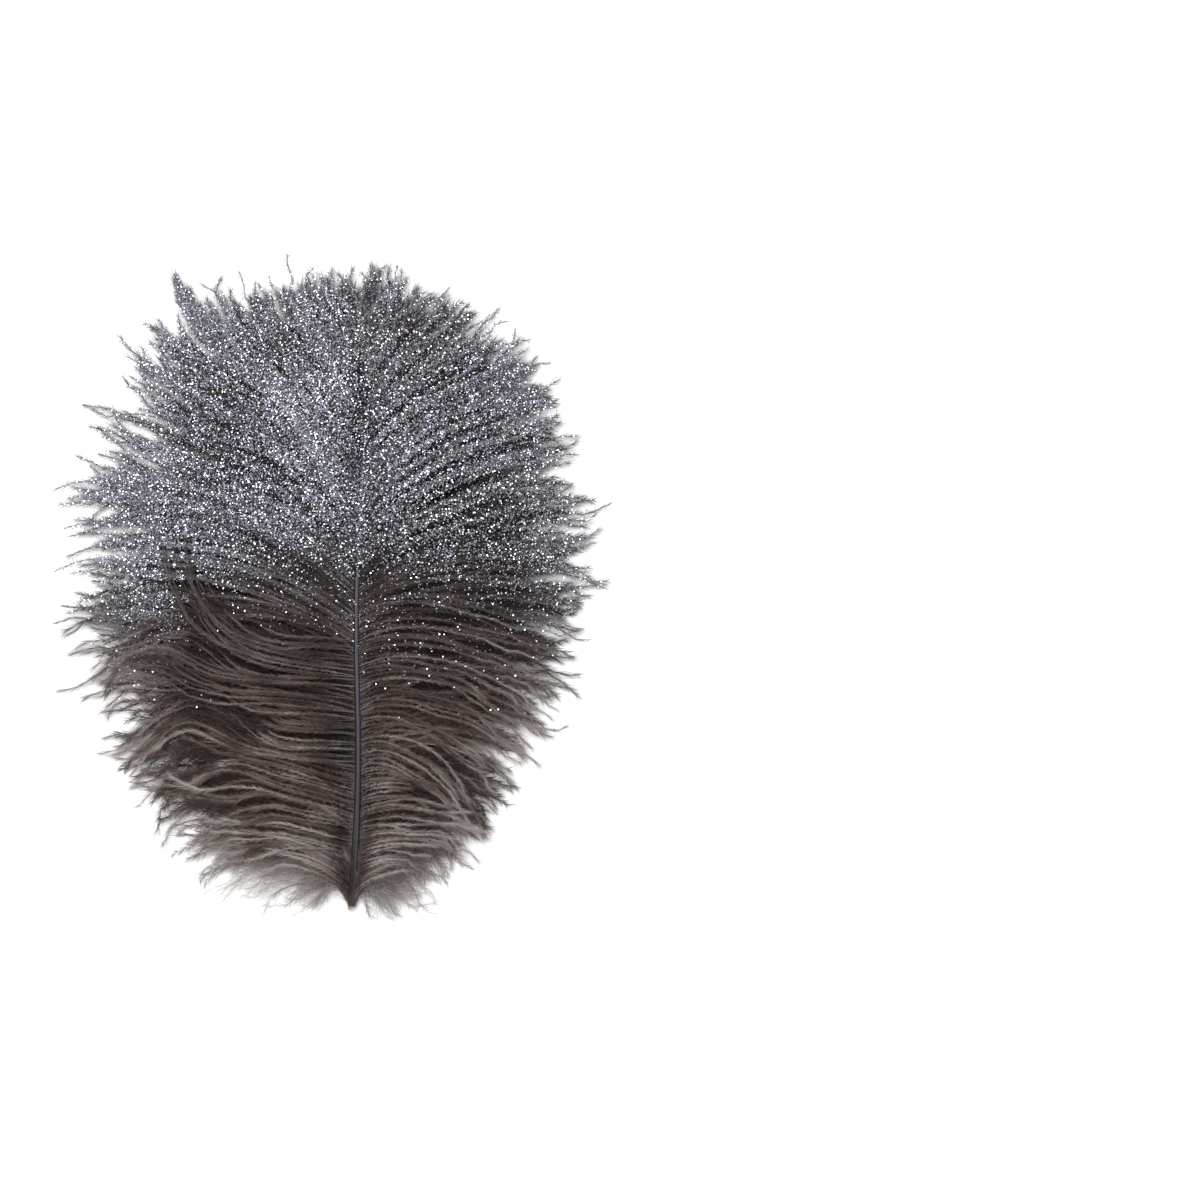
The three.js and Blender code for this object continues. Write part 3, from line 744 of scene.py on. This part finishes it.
def barb_tree():
    """Node tree that turns barb lines into barbs fringed with barbules."""
    tree = bpy.data.node_groups.new("Fringed Barbs", "GeometryNodeTree")
    add_sockets(tree, BARB_INPUTS)
    add = functools.partial(add_node, tree)
    given = add("NodeGroupInput").node.outputs
    grow, fluff, row, spot_u, spot_v = (
        add(STORED, {"Name": name}, "Attribute", data_type="FLOAT")
        for name in ("grow", "fluff", "row", "spot_u", "spot_v"))
    curves = add("GeometryNodeMeshToCurve", {"Mesh": given["Geometry"]})
    whole = add("GeometryNodeJoinGeometry", {0: barb_core(add, given, curves, grow, fluff)})
    tree.links.new(barb_fringe(add, given, curves, grow, fluff), whole.node.inputs[0])
    whole = add("GeometryNodeRealizeInstances", {0: whole})
    # Nothing goes below the surface that the feather lies on.
    place = add("GeometryNodeInputPosition")
    place = add(SPLIT_XYZ, {0: place}).node.outputs
    above = add(MATH, {0: place["Z"], 1: LOWEST}, operation="MAXIMUM")
    place = add(JOIN_XYZ, {0: place["X"], 1: place["Y"], 2: above})
    whole = add("GeometryNodeSetPosition", {"Geometry": whole, "Position": place})
    # The map runs along the barb in u and gives each barb its own row in v.
    aside = add(MATH, {0: spot_u, 1: MAP_ASIDE, 2: MAP_START}, operation="MULTIPLY_ADD")
    map_u = add(MATH, {0: grow, 1: MAP_LENGTH, 2: aside}, operation="MULTIPLY_ADD")
    start = add(MATH, {0: row, 1: ROW_START}, operation="ADD")
    map_v = add(MATH, {0: spot_v, 1: ROW_WIDTH, 2: start}, operation="MULTIPLY_ADD")
    map_v = add(MATH, {0: map_v, 1: given["Rows"]}, operation="DIVIDE")
    spot = add(JOIN_XYZ, {0: map_u, 1: map_v, 2: 0.0})
    whole = add(STORE, {"Geometry": whole, "Name": "OFBake", "Value": spot}, **ON_CORNERS)
    whole = add("GeometryNodeSetMaterial", {"Geometry": whole, "Material": given["Material"]})
    add("NodeGroupOutput", {0: whole})
    return tree


def grow_mesh(name, source, tree, values):
    """Run a node tree on a source mesh and return the result as one plain object."""
    carrier = bpy.data.objects.new(name + "_lines", source)
    bpy.context.scene.collection.objects.link(carrier)
    modifier = carrier.modifiers.new("grow", "NODES")
    modifier.node_group = tree
    for item in tree.interface.items_tree:
        if item.in_out == "INPUT" and item.name in values:
            modifier[item.identifier] = values[item.name]
    bpy.context.view_layer.update()
    graph = bpy.context.evaluated_depsgraph_get()
    mesh = bpy.data.meshes.new_from_object(carrier.evaluated_get(graph))
    carrier.modifiers.remove(modifier)
    bpy.data.objects.remove(carrier)
    bpy.data.meshes.remove(source)
    mesh.name = name
    mesh.materials.clear()
    mesh.materials.append(values["Material"])
    mesh.polygons.foreach_set("material_index", [0] * len(mesh.polygons))
    piece = bpy.data.objects.new(name, mesh)
    bpy.context.scene.collection.objects.link(piece)
    if not len(mesh.polygons):
        raise RuntimeError(name + " came out empty")
    return piece


def new_material(name, values):
    """Material, its node tree and the inputs of its shader, with the named ones set."""
    material = bpy.data.materials.new(name)
    material.use_nodes = True
    shader = material.node_tree.nodes["Principled BSDF"].inputs
    for key, value in values.items():
        shader[key].default_value = value
    return material, material.node_tree, shader


KERATIN_IOR = 1.54
# Places along the feather in the frame where the foot's paler dye ends and the blue cast sets in,
# in metres, and the width of patches in the dye in mm.
FOOT_DYE_SPAN = (-60 * MM, -12 * MM)
COOL_SPAN = (-45 * MM, 15 * MM)
PATCH_WIDTH = 9.0909


def barb_material(settings):
    """Dyed ostrich barb: soft matte keratin, brown charcoal low down and cooler toward the tip."""
    material, tree, shader = new_material(
        "Dyed ostrich barb keratin",
        {"Roughness": 0.62, "Specular IOR Level": 0.2, "IOR": KERATIN_IOR})
    add = functools.partial(add_node, tree)
    given = {
        name: add(ATTRIBUTE, None, "Fac", attribute_name=name)
        for name in ("tone", "shade", "grow", "out", "fluff")}
    place = add("ShaderNodeTexCoord", None, "Object")
    up = add(SPLIT_XYZ, {0: place}, "Y")
    # Each barb took the dye a little differently. The shade attribute darkens it: painted shadow under
    # the loose locks, at the roots beside the cut end and in the hollows; it also darkens the loose
    # locks toward their tips. Along each barbule the dye is lighter at its root and darker at its tip:
    # a painted highlight along each cord's ridge and painted shade in the gaps between cords. The
    # barbs' outer ends, bare roots and the foot of the feather are paler.
    # Each row: value, where it starts and ends, and what the dye is multiplied by there.
    dye = add(MAP_RANGE, {0: given["tone"], 3: 0.2, 4: 1.7})
    for value, low, high, first, last in (
        (given["shade"], 0.0, 1.0, 1.0, 0.5), (given["grow"], 0.6, 1.0, 1.0, 1.6),
        (given["out"], 0.0, 1.0, 1.14, 0.72), (given["fluff"], 0.0, 1.0, 1.4, 1.0),
        (up, *FOOT_DYE_SPAN, 1.16, 0.92),
    ):
        part = add(MAP_RANGE, {0: value, 1: low, 2: high, 3: first, 4: last}, **SMOOTH)
        dye = add(MATH, {0: dye, 1: part}, operation="MULTIPLY")
    # Patches took more or less dye.
    patch = add("ShaderNodeTexNoise", {"Vector": place, "Scale": 1 / (PATCH_WIDTH * MM), "Detail": 2.0})
    patch = add(MAP_RANGE, {0: patch, 1: 0.3, 2: 0.7, 3: 0.8, 4: 1.2})
    dye = add(MATH, {0: dye, 1: patch}, operation="MULTIPLY")
    dye = add(MATH, {0: dye, 1: 0.5}, operation="MULTIPLY")
    # The dye value here carries the painted shadow and painted highlight from above as well; the ramp
    # turns it into colour.
    ramp = add("ShaderNodeValToRGB", {0: dye})
    ends = ramp.node.color_ramp.elements
    ends[0].color = (*linear("#0d0a09"), 1)
    ends[1].color = (*linear("#968e8b"), 1)
    for place_on_ramp, colour in ((0.25, settings.dark), (0.5, settings.warm)):
        ends.new(place_on_ramp).color = (*colour, 1)
    # A blue cast lies over the upper half and on bare barbs.
    cool = add(MAP_RANGE, {0: up, 1: COOL_SPAN[0], 2: COOL_SPAN[1]}, **SMOOTH)
    bare = add(MAP_RANGE, {0: given["fluff"], 3: 0.8, 4: 0.0})
    cool = add(MATH, {0: cool, 1: bare}, operation="MAXIMUM")
    colour = add(
        MIX, {0: cool, 6: ramp, 7: (*settings.cool, 1)}, 2, data_type="RGBA", blend_type="MULTIPLY")
    tree.links.new(colour, shader["Base Color"])
    return material


COLOUR = {"subtype": "COLOR", "size": 3, "min": 0, "max": 1}
LENGTH = {"subtype": "DISTANCE", "unit": "LENGTH", "precision": 5}


class FeatherVaneSettings(bpy.types.PropertyGroup):
    """Sizes and dye of the two vanes."""

    barbs: IntProperty(
        name="Barbs", description="Barbs of each layer on each side of the shaft", default=120)
    barbs_per_curl: IntProperty(
        name="Barbs per curl", description="Barbs in each loose curled lock", default=6)
    barbs_per_stray: IntProperty(
        name="Barbs per stray", description="Barbs in each stray lock of the outline", default=4)
    barbs_of_foot: IntProperty(
        name="Barbs of the foot", description="Short barbs on each side of the cut end", default=22)
    barbs_of_down: IntProperty(
        name="Barbs of down", description="Downy barbs on each side of the cut end", default=44)
    barb_radius: FloatProperty(
        name="Barb radius", description="Radius of a barb at the shaft", default=0.14 * MM, **LENGTH)
    dark: FloatVectorProperty(
        name="Deep dye", description="Red brown of the barbs that took most dye",
        default=linear("#30231f"), **COLOUR)
    warm: FloatVectorProperty(
        name="Dye", description="Brown charcoal of most barbs", default=linear("#5b4c47"), **COLOUR)
    cool: FloatVectorProperty(
        name="Upper dye", description="Blue cast over the upper half",
        default=linear("#dae9f4"), **COLOUR)
    seed: IntProperty(
        name="Seed", description="Seed of the barbs' unevenness", default=31)


class FeatherShaftSettings(bpy.types.PropertyGroup):
    """Sizes and colours of the shaft."""

    rings: IntProperty(
        name="Rings", description="Rings of faces along the shaft", default=90)
    sides: IntProperty(
        name="Sides", description="Faces round the shaft", default=28)
    groove_depth: FloatProperty(
        name="Groove depth", description="Depth of the groove near the cut",
        default=0.5 * MM, **LENGTH)
    # The slate shows where the painted sheen lies, right of the shaft's middle; the dark shows as
    # painted shade in the groove and on the flanks, and low on the shaft.
    slate: FloatVectorProperty(
        name="Slate", description="Dyed grey of the shaft", default=linear("#3f404b"), **COLOUR)
    dark: FloatVectorProperty(
        name="Dark", description="Dark of the groove and flanks",
        default=linear("#1d1918"), **COLOUR)
    cut: FloatVectorProperty(
        name="Cut end", description="Undyed tan of the cut end", default=linear("#b79a80"), **COLOUR)


class FeatherGlitterSettings(bpy.types.PropertyGroup):
    """Number and size of the glitter flakes."""

    flakes: IntProperty(
        name="Flakes", description="Number of flakes", default=123000)
    radius: FloatProperty(
        name="Flake radius", description="Radius of a flake, corner to middle",
        default=0.225 * MM, **LENGTH)
    silver: FloatVectorProperty(
        name="Silver", description="Colour of the flakes' metal film",
        default=linear("#babdc8"), **COLOUR)
    seed: IntProperty(
        name="Seed", description="Seed of the flakes' places", default=5)


class FeatherStageSettings(bpy.types.PropertyGroup):
    """Camera, light and floor."""

    frame_width: FloatProperty(
        name="Frame width", description="Width of the floor that the picture shows",
        default=0.3333, **LENGTH)
    lens: FloatProperty(
        name="Lens", description="Focal length of the camera in mm", default=100.0)
    key_power: FloatProperty(
        name="Key light", description="Power of the soft box", default=12.5, unit="POWER")
    sky: FloatProperty(
        name="Room light", description="Strength of the even room light", default=0.82)
    floor: FloatVectorProperty(
        name="Floor", description="Colour of the paper under the feather",
        default=linear("#fafafa"), **COLOUR)


def shaft_mesh(settings):
    """Rod with a groove between two ridges near the cut, and a slanted cut end."""
    rings, sides = settings.rings, settings.sides
    y = SHAFT_LENGTH * np.linspace(0, 1, rings)[:, None]
    a = 2 * np.pi * np.arange(sides)[None, :] / sides
    radius = shaft_radius(y)
    fade = 1 - smooth(GROOVE_FADE * GROOVE_END, GROOVE_END, y)
    hollow = np.exp(-((np.sin(a) / GROOVE_WIDTH) ** 2)) * (np.cos(a) > 0) * fade
    x = shaft_across(y) + radius * np.sin(a)
    z = shaft_height(y) + radius * np.cos(a) - settings.groove_depth / MM * hollow
    slant = CUT_SLANT * np.sin(a) * np.exp(-y / CUT_FADE)
    points = np.stack([x, y + slant, z], axis=-1)
    verts = (points.reshape(-1, 3) + CUT_END) * MM
    faces = []
    for r in range(rings - 1):
        for j in range(sides):
            p, q = r * sides + j, r * sides + (j + 1) % sides
            faces.append((p, q, q + sides, p + sides))
    faces.append(tuple(reversed(range(sides))))
    faces.append(tuple(range((rings - 1) * sides, rings * sides)))
    mesh = bpy.data.meshes.new("shaft_rod")
    mesh.from_pydata(verts.tolist(), [], faces)
    for name, values in (("groove", hollow), ("flank", np.sin(a))):
        layer = mesh.attributes.new(name, "FLOAT", "POINT")
        layer.data.foreach_set("value", np.broadcast_to(values, x.shape).astype(np.float32).ravel())
    mesh.polygons.foreach_set("use_smooth", [True] * (len(faces) - 2) + [False, False])
    return mesh


# Growth lines of the shaft, and the stretch of its painted sheen and its raw cut above the cut end, all
# in mm.
LINE_WIDTH, LINE_LENGTH, LINE_DEPTH = 0.151515, 6.25, 0.08
SHEEN_SPAN, RAW_SPAN = (12, 75), (0.9, 0.2)


def shaft_material(settings):
    """Dyed shaft keratin: smooth and slightly glossy, with a painted slate sheen right of the middle,
    painted shade on its flanks and in the groove, raw tan where it was cut.
    """
    material, tree, shader = new_material("Dyed shaft keratin", {"IOR": KERATIN_IOR})
    add = functools.partial(add_node, tree)
    groove, flank = (
        add(ATTRIBUTE, None, "Fac", attribute_name=name) for name in ("groove", "flank"))
    place = add("ShaderNodeTexCoord", None, "Object")
    up = add(SPLIT_XYZ, {0: place}, "Y")
    fine = 1 / (LINE_WIDTH * MM)
    stretched = add("ShaderNodeMapping", {0: place, 3: (fine, 1 / (LINE_LENGTH * MM), fine)})
    lines = add("ShaderNodeTexNoise", {"Vector": stretched, "Scale": 1.0, "Detail": 2.0})
    # A painted sheen in the slate colour lies right of the middle, fainter low down, and the left
    # flank, the right edge and the groove get painted shade in the dark colour. Each row: value, where
    # it starts and ends, and what the sheen is multiplied by there.
    shiny, raw = ([(CUT_END[1] + y) * MM for y in span] for span in (SHEEN_SPAN, RAW_SPAN))
    painted_sheen = add(MAP_RANGE, {0: groove, 1: 0.1, 2: 0.6, 3: 1.0, 4: 0.0})
    for value, low, high, first, last in (
        (flank, -0.35, 0.1, 0.0, 1.0), (flank, 0.6, 0.95, 1.0, 0.2), (up, *shiny, 0.3, 1.0),
    ):
        part = add(MAP_RANGE, {0: value, 1: low, 2: high, 3: first, 4: last}, **SMOOTH)
        painted_sheen = add(MATH, {0: painted_sheen, 1: part}, operation="MULTIPLY")
    colour = add(
        MIX, {0: painted_sheen, 6: (*settings.dark, 1), 7: (*settings.slate, 1)}, 2, data_type="RGBA")
    streak = add(MAP_RANGE, {0: lines, 1: 0.3, 2: 0.7, 3: 0.75, 4: 1.2})
    streak = add("ShaderNodeCombineColor", {0: streak, 1: streak, 2: streak})
    colour = add(MIX, {0: 1.0, 6: colour, 7: streak}, 2, data_type="RGBA", blend_type="MULTIPLY")
    raw = add(MAP_RANGE, {0: up, 1: raw[0], 2: raw[1]})
    colour = add(MIX, {0: raw, 6: colour, 7: (*settings.cut, 1)}, 2, data_type="RGBA")
    gloss = add(MAP_RANGE, {0: lines, 3: 0.3, 4: 0.5})
    bump = add("ShaderNodeBump", {"Height": lines, "Strength": 0.35, "Distance": LINE_DEPTH * MM})
    for value, name in ((colour, "Base Color"), (gloss, "Roughness"), (bump, "Normal")):
        tree.links.new(value, shader[name])
    return material


def glitter_material(settings):
    """Cut metallised film: bright mirror-like silver, each flake with its own faint tint."""
    material, tree, shader = new_material(
        "Metallised film glitter", {"Metallic": 1.0, "Roughness": 0.24})
    tint = add_node(tree, ATTRIBUTE, None, "Fac", attribute_name="tint")
    ramp = add_node(tree, "ShaderNodeValToRGB", {0: tint})
    tints = ramp.node.color_ramp.elements
    tints[0].color = (*linear("#8e8f98"), 1)
    tints[1].color = (*linear("#cbced7"), 1)
    for place_on_ramp, colour in ((0.55, settings.silver), (0.3, linear("#b1b1c6"))):
        tints.new(place_on_ramp).color = (*colour, 1)
    tree.links.new(ramp, shader["Base Color"])
    return material


def glitter_tree():
    """Node tree that lays one square flake on each point."""
    tree = bpy.data.node_groups.new("Glitter Flakes", "GeometryNodeTree")
    add_sockets(tree, FLAKE_INPUTS)
    add = functools.partial(add_node, tree)
    given = add("NodeGroupInput").node.outputs
    chance = {}
    for name, (step, least, most) in FLAKE_CHANCE.items():
        seed = add(MATH, {0: given["Seed"], 1: step}, operation="ADD")
        chance[name] = add(RANDOM, {2: least, 3: most, "Seed": seed}, 1, data_type="FLOAT")
    index = add("GeometryNodeInputIndex")
    points = add("GeometryNodeMeshToPoints", {"Mesh": given["Geometry"]})
    for name, value in (("tint", chance["tint"]), ("order", index)):
        points = add(STORE, {"Geometry": points, "Name": name, "Value": value}, **ON_POINTS)
    flake = add("GeometryNodeMeshCircle", {"Vertices": 4, "Radius": 1.0}, fill_type="NGON")
    place = add("GeometryNodeInputPosition")
    place = add(SPLIT_XYZ, {0: place}).node.outputs
    for name, axis in (("spot_u", "X"), ("spot_v", "Y")):
        flake = add(STORE, {"Geometry": flake, "Name": name, "Value": place[axis]}, **ON_POINTS)
    turn = add(JOIN_XYZ, {0: chance["tilt_x"], 1: chance["tilt_y"], 2: chance["turn"]})
    turn = add("FunctionNodeEulerToRotation", {0: turn})
    size = add(MATH, {0: given["Flake Radius"], 1: chance["size"]}, operation="MULTIPLY")
    size = add(JOIN_XYZ, {0: size, 1: size, 2: size})
    flakes = add(
        "GeometryNodeInstanceOnPoints",
        {"Points": points, "Instance": flake, "Rotation": turn, "Scale": size})
    flakes = add("GeometryNodeRealizeInstances", {0: flakes})

    # The map is a chart of small squares, one for each flake.
    order, spot_u, spot_v = (
        add(STORED, {"Name": name}, "Attribute", data_type="FLOAT")
        for name in ("order", "spot_u", "spot_v"))
    column = add(MATH, {0: order, 1: given["Columns"]}, operation="MODULO")
    line = add(MATH, {0: order, 1: given["Columns"]}, operation="DIVIDE")
    line = add(MATH, {0: line}, operation="FLOOR")
    chart = []
    for square, inside in ((column, spot_u), (line, spot_v)):
        inside = add(MATH, {0: inside, 1: SQUARE_HALF, 2: SQUARE_MIDDLE}, operation="MULTIPLY_ADD")
        spot = add(MATH, {0: square, 1: inside}, operation="ADD")
        chart.append(add(MATH, {0: spot, 1: given["Columns"]}, operation="DIVIDE"))
    spot = add(JOIN_XYZ, {0: chart[0], 1: chart[1], 2: 0.0})
    flakes = add(STORE, {"Geometry": flakes, "Name": "OFBake", "Value": spot}, **ON_CORNERS)
    flakes = add("GeometryNodeSetMaterial", {"Geometry": flakes, "Material": given["Material"]})
    add("NodeGroupOutput", {0: flakes})
    return tree


def plan_cells(places, corner, shape):
    """Row and column of the small square of the plan that each place lies in."""
    cell = np.floor((places[:, :2] - corner) / FLAKE_CELL).astype(int)
    return tuple(np.clip(cell, 0, np.array(shape) - 1).T)


def barb_heights(lines, corner, shape):
    """Height of the highest barb over each small square of the plan; -1 where there is none."""
    part = np.linspace(0, 1, HEIGHT_STEPS + 1)[:-1, None]
    start, end = lines[:, :-1, None, :], lines[:, 1:, None, :]
    dense = (start * (1 - part) + end * part).reshape(-1, 3)
    heights = np.full(shape, -1.0)
    np.maximum.at(heights, plan_cells(dense, corner, shape), dense[:, 2])
    for axis in (0, 1):
        beside = np.maximum(np.roll(heights, 1, axis), np.roll(heights, -1, axis))
        heights = np.maximum(heights, beside)
    return heights


def patch_effect(x, y, patch):
    """Effect of a round patch on places: full at its middle and fading out."""
    across, up, radius, full = patch
    gap = np.hypot(x - across, y - up) / radius
    return full * np.exp(-gap ** 2)


def glitter_chance(x, y, rng):
    """Chance that a place holds a flake: none low down, most above the middle, less at the edges."""
    up = y + EDGE_SLOPE * np.abs(x) + rng.normal(0, EDGE_SCATTER, len(x))
    up = up + patch_effect(x, y, LOW_PATCH) + RIGHT_DROP * smooth(*RIGHT_DROP_SPAN, x)
    chance = SPARSE_CHANCE * smooth(*SPARSE_SPAN, up) + DENSE_CHANCE * smooth(*DENSE_SPAN, up)
    chance *= 1 - OUTER_LOSS * smooth(*OUTER_SPAN, np.abs(x))
    chance *= np.where(x > RIGHT_FROM, RIGHT_CHANCE, 1.0)
    chance *= 1 - SHAFT_LOSS * np.exp(-((x - shaft_across(y)) / SHAFT_LOSS_WIDTH) ** 2)
    for patch in BARE_PATCHES:
        chance *= 1 - patch_effect(x, y, patch)
    return chance


def glitter_points(vane, settings):
    """Places of the flakes, strewn along the barbs that lie uppermost."""
    rng = np.random.default_rng(settings.seed)
    bundles = [vane_barbs(side, layer, vane) for layer in ("top", "middle") for side in SIDES]
    bundles += [stray_barbs(side, vane) for side in SIDES]
    bundles += [vane_barbs(side, "under", vane) for side in SIDES]
    y = np.linspace(RIDGE_FROM, 1, POINTS_PER_BARB) * SHAFT_LENGTH
    crest = shaft_height(y) + shaft_radius(y) - RIDGE_DEPTH
    ridge = np.stack([shaft_across(y), y, crest], axis=-1)[None]
    lines = np.concatenate([bundle.points for bundle in bundles] + [ridge])
    corner = lines[..., :2].min((0, 1)) - PLAN_MARGIN
    far = lines[..., :2].max((0, 1)) + PLAN_MARGIN
    shape = tuple(np.ceil((far - corner) / FLAKE_CELL).astype(int))
    heights = barb_heights(lines, corner, shape)
    curls = barb_heights(curl_barbs(vane).points, corner, shape)
    length = np.linalg.norm(np.diff(lines, axis=1), axis=-1).sum(1)
    barb = rng.choice(len(lines), settings.flakes * FLAKE_TRIES, p=length / length.sum())
    spot = rng.uniform(0, LAST_SPOT, len(barb))
    before, part = spot.astype(int), (spot % 1)[:, None]
    places = lines[barb, before] * (1 - part) + lines[barb, before + 1] * part
    places[:, :2] += rng.normal(0, FLAKE_SCATTER, (len(barb), 2))
    cells = plan_cells(places, corner, shape)
    chance = glitter_chance(places[:, 0], places[:, 1], rng)
    chance *= np.where(curls[cells] > 0, CURL_CHANCE, 1.0)
    seen = places[:, 2] > heights[cells] - SEEN_DEPTH
    chosen = seen & (rng.uniform(0, 1, len(places)) < chance)
    places[:, 2] += rng.uniform(*FLAKE_LIFT, len(places))
    return places[chosen][:settings.flakes]


def settings_of(context):
    return context.scene.ostrich_feather


class FEATHER_OT_add_shaft(bpy.types.Operator):
    """Add the grooved shaft with its cut end"""

    bl_idname = "feather.add_shaft"
    bl_label = "Add Shaft"

    def execute(self, context):
        settings = settings_of(context).shaft
        piece = bpy.data.objects.new("shaft_rod", shaft_mesh(settings))
        context.scene.collection.objects.link(piece)
        piece.data.materials.append(shaft_material(settings))
        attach(piece, "root")
        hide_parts("shaft")
        return {"FINISHED"}


class FEATHER_OT_add_vanes(bpy.types.Operator):
    """Add the barbs of both vanes, layer by layer"""

    bl_idname = "feather.add_vanes"
    bl_label = "Add Vanes"

    def execute(self, context):
        settings = settings_of(context).vane
        tree = barb_tree()
        material = barb_material(settings)
        for side in SIDES:
            for layer in LAYER_FRINGE:
                if layer == "down":
                    barbs = down_barbs(side, settings)
                else:
                    barbs = vane_barbs(side, layer, settings)
                if layer == "middle":
                    barbs = barbs + stray_barbs(side, settings) + foot_barbs(side, settings)
                if side == LEFT and layer == "top":
                    barbs = barbs + curl_barbs(settings)
                name = SIDE_NAMES[side] + "_barbs_" + layer
                length, width, lean, spacing, about, rise = LAYER_FRINGE[layer]
                piece = grow_mesh(name, barb_lines(name, barbs), tree, {
                    "Barb Radius": settings.barb_radius,
                    "Barbule Spacing": spacing * MM,
                    "Barbule Length": length * MM,
                    "Barbule Width": width * MM,
                    "Barbule Angle": math.radians(lean),
                    "Barbule Rise": rise,
                    "Barbules Round": about,
                    "Rows": float(len(barbs.tone)),
                    "Seed": settings.seed + len(name),
                    "Material": material,
                })
                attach(piece, "root")
                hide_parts(SIDE_NAMES[side] + "_vane")
        return {"FINISHED"}


class FEATHER_OT_add_glitter(bpy.types.Operator):
    """Add the glitter flakes on the upper half"""

    bl_idname = "feather.add_glitter"
    bl_label = "Add Glitter"

    def execute(self, context):
        settings = settings_of(context).glitter
        places = glitter_points(settings_of(context).vane, settings)
        tree, film = glitter_tree(), glitter_material(settings)
        onto_right = places[:, 0] > shaft_across(places[:, 1])
        for side, chosen in ((LEFT, ~onto_right), (RIGHT, onto_right)):
            name = SIDE_NAMES[side] + "_glitter"
            source = bpy.data.meshes.new(name)
            source.from_pydata(((places[chosen] + CUT_END) * MM).tolist(), [], [])
            piece = grow_mesh(name, source, tree, {
                "Flake Radius": settings.radius,
                "Columns": float(math.ceil(math.sqrt(chosen.sum()))),
                "Seed": settings.seed + side,
                "Material": film,
            })
            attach(piece, "root")
        return {"FINISHED"}


# The stage, in metres. The picture's middle lies right of the feather, about halfway up it: across
# and up from the cut end in mm.
FLOOR_HALF = 3.0
SENSOR_WIDTH = 36.0
PICTURE_MIDDLE = (68.9, 85.6)
SOFT_BOX_SIZE, SOFT_BOX_PLACE = (0.9, 0.7), (-0.35, 0.45, 0.95)


class FEATHER_OT_add_stage(bpy.types.Operator):
    """Add the pale floor, the soft light and the camera above the feather"""

    bl_idname = "feather.add_stage"
    bl_label = "Add Stage"

    def execute(self, context):
        settings = settings_of(context).stage
        scene = context.scene
        mesh = bpy.data.meshes.new("floor")
        corners = ((-1, -1), (1, -1), (1, 1), (-1, 1))
        mesh.from_pydata([(x * FLOOR_HALF, y * FLOOR_HALF, 0) for x, y in corners], [], [(0, 1, 2, 3)])
        floor = bpy.data.objects.new("floor", mesh)
        scene.collection.objects.link(floor)
        paper = new_material("Matte white paper", {
            "Base Color": (*settings.floor, 1), "Roughness": 0.9, "Specular IOR Level": 0.1})
        mesh.materials.append(paper[0])

        camera = bpy.data.cameras.new("camera")
        camera.lens = settings.lens
        camera.sensor_width = SENSOR_WIDTH
        distance = settings.frame_width * settings.lens / camera.sensor_width
        eye = bpy.data.objects.new("camera", camera)
        eye.location = (*((CUT_END[:2] + PICTURE_MIDDLE) * MM), distance)
        scene.collection.objects.link(eye)
        scene.camera = eye

        lamp = bpy.data.lights.new("soft_box", "AREA")
        lamp.shape = "RECTANGLE"
        lamp.size, lamp.size_y = SOFT_BOX_SIZE
        lamp.energy = settings.key_power
        box = bpy.data.objects.new("soft_box", lamp)
        box.location = SOFT_BOX_PLACE
        aim = -box.location.normalized()
        box.rotation_euler = aim.to_track_quat("-Z", "Y").to_euler()
        scene.collection.objects.link(box)

        world = scene.world or bpy.data.worlds.new("room")
        scene.world = world
        world.use_nodes = True
        room = world.node_tree.nodes["Background"]
        room.inputs["Color"].default_value = (1, 1, 1, 1)
        room.inputs["Strength"].default_value = settings.sky
        scene.view_settings.view_transform = "Standard"
        return {"FINISHED"}


class FeatherSettings(bpy.types.PropertyGroup):
    """All settings of the feather."""

    shaft: PointerProperty(type=FeatherShaftSettings)
    vane: PointerProperty(type=FeatherVaneSettings)
    glitter: PointerProperty(type=FeatherGlitterSettings)
    stage: PointerProperty(type=FeatherStageSettings)


class FEATHER_PT_panel(bpy.types.Panel):
    """Sidebar panel with the feather's operators and settings"""

    bl_label = "Ostrich Feather"
    bl_idname = "FEATHER_PT_panel"
    bl_space_type = "VIEW_3D"
    bl_region_type = "UI"
    bl_category = "Feather"

    def draw(self, context):
        settings = settings_of(context)
        for group, operator in (
            (settings.shaft, "feather.add_shaft"), (settings.vane, "feather.add_vanes"),
            (settings.glitter, "feather.add_glitter"), (settings.stage, "feather.add_stage"),
        ):
            column = self.layout.box().column()
            for key in type(group).__annotations__:
                column.prop(group, key)
            column.operator(operator)


CLASSES = (
    FeatherShaftSettings, FeatherVaneSettings, FeatherGlitterSettings, FeatherStageSettings,
    FeatherSettings, FEATHER_OT_add_shaft, FEATHER_OT_add_vanes, FEATHER_OT_add_glitter,
    FEATHER_OT_add_stage, FEATHER_PT_panel,
)


def register():
    for cls in CLASSES:
        bpy.utils.register_class(cls)
    bpy.types.Scene.ostrich_feather = PointerProperty(type=FeatherSettings)


def unregister():
    del bpy.types.Scene.ostrich_feather
    for cls in reversed(CLASSES):
        bpy.utils.unregister_class(cls)


def main():
    register()
    bpy.ops.feather.add_shaft()
    bpy.ops.feather.add_vanes()
    bpy.ops.feather.add_glitter()
    bpy.ops.feather.add_stage()


if __name__ == "__main__":
    main()
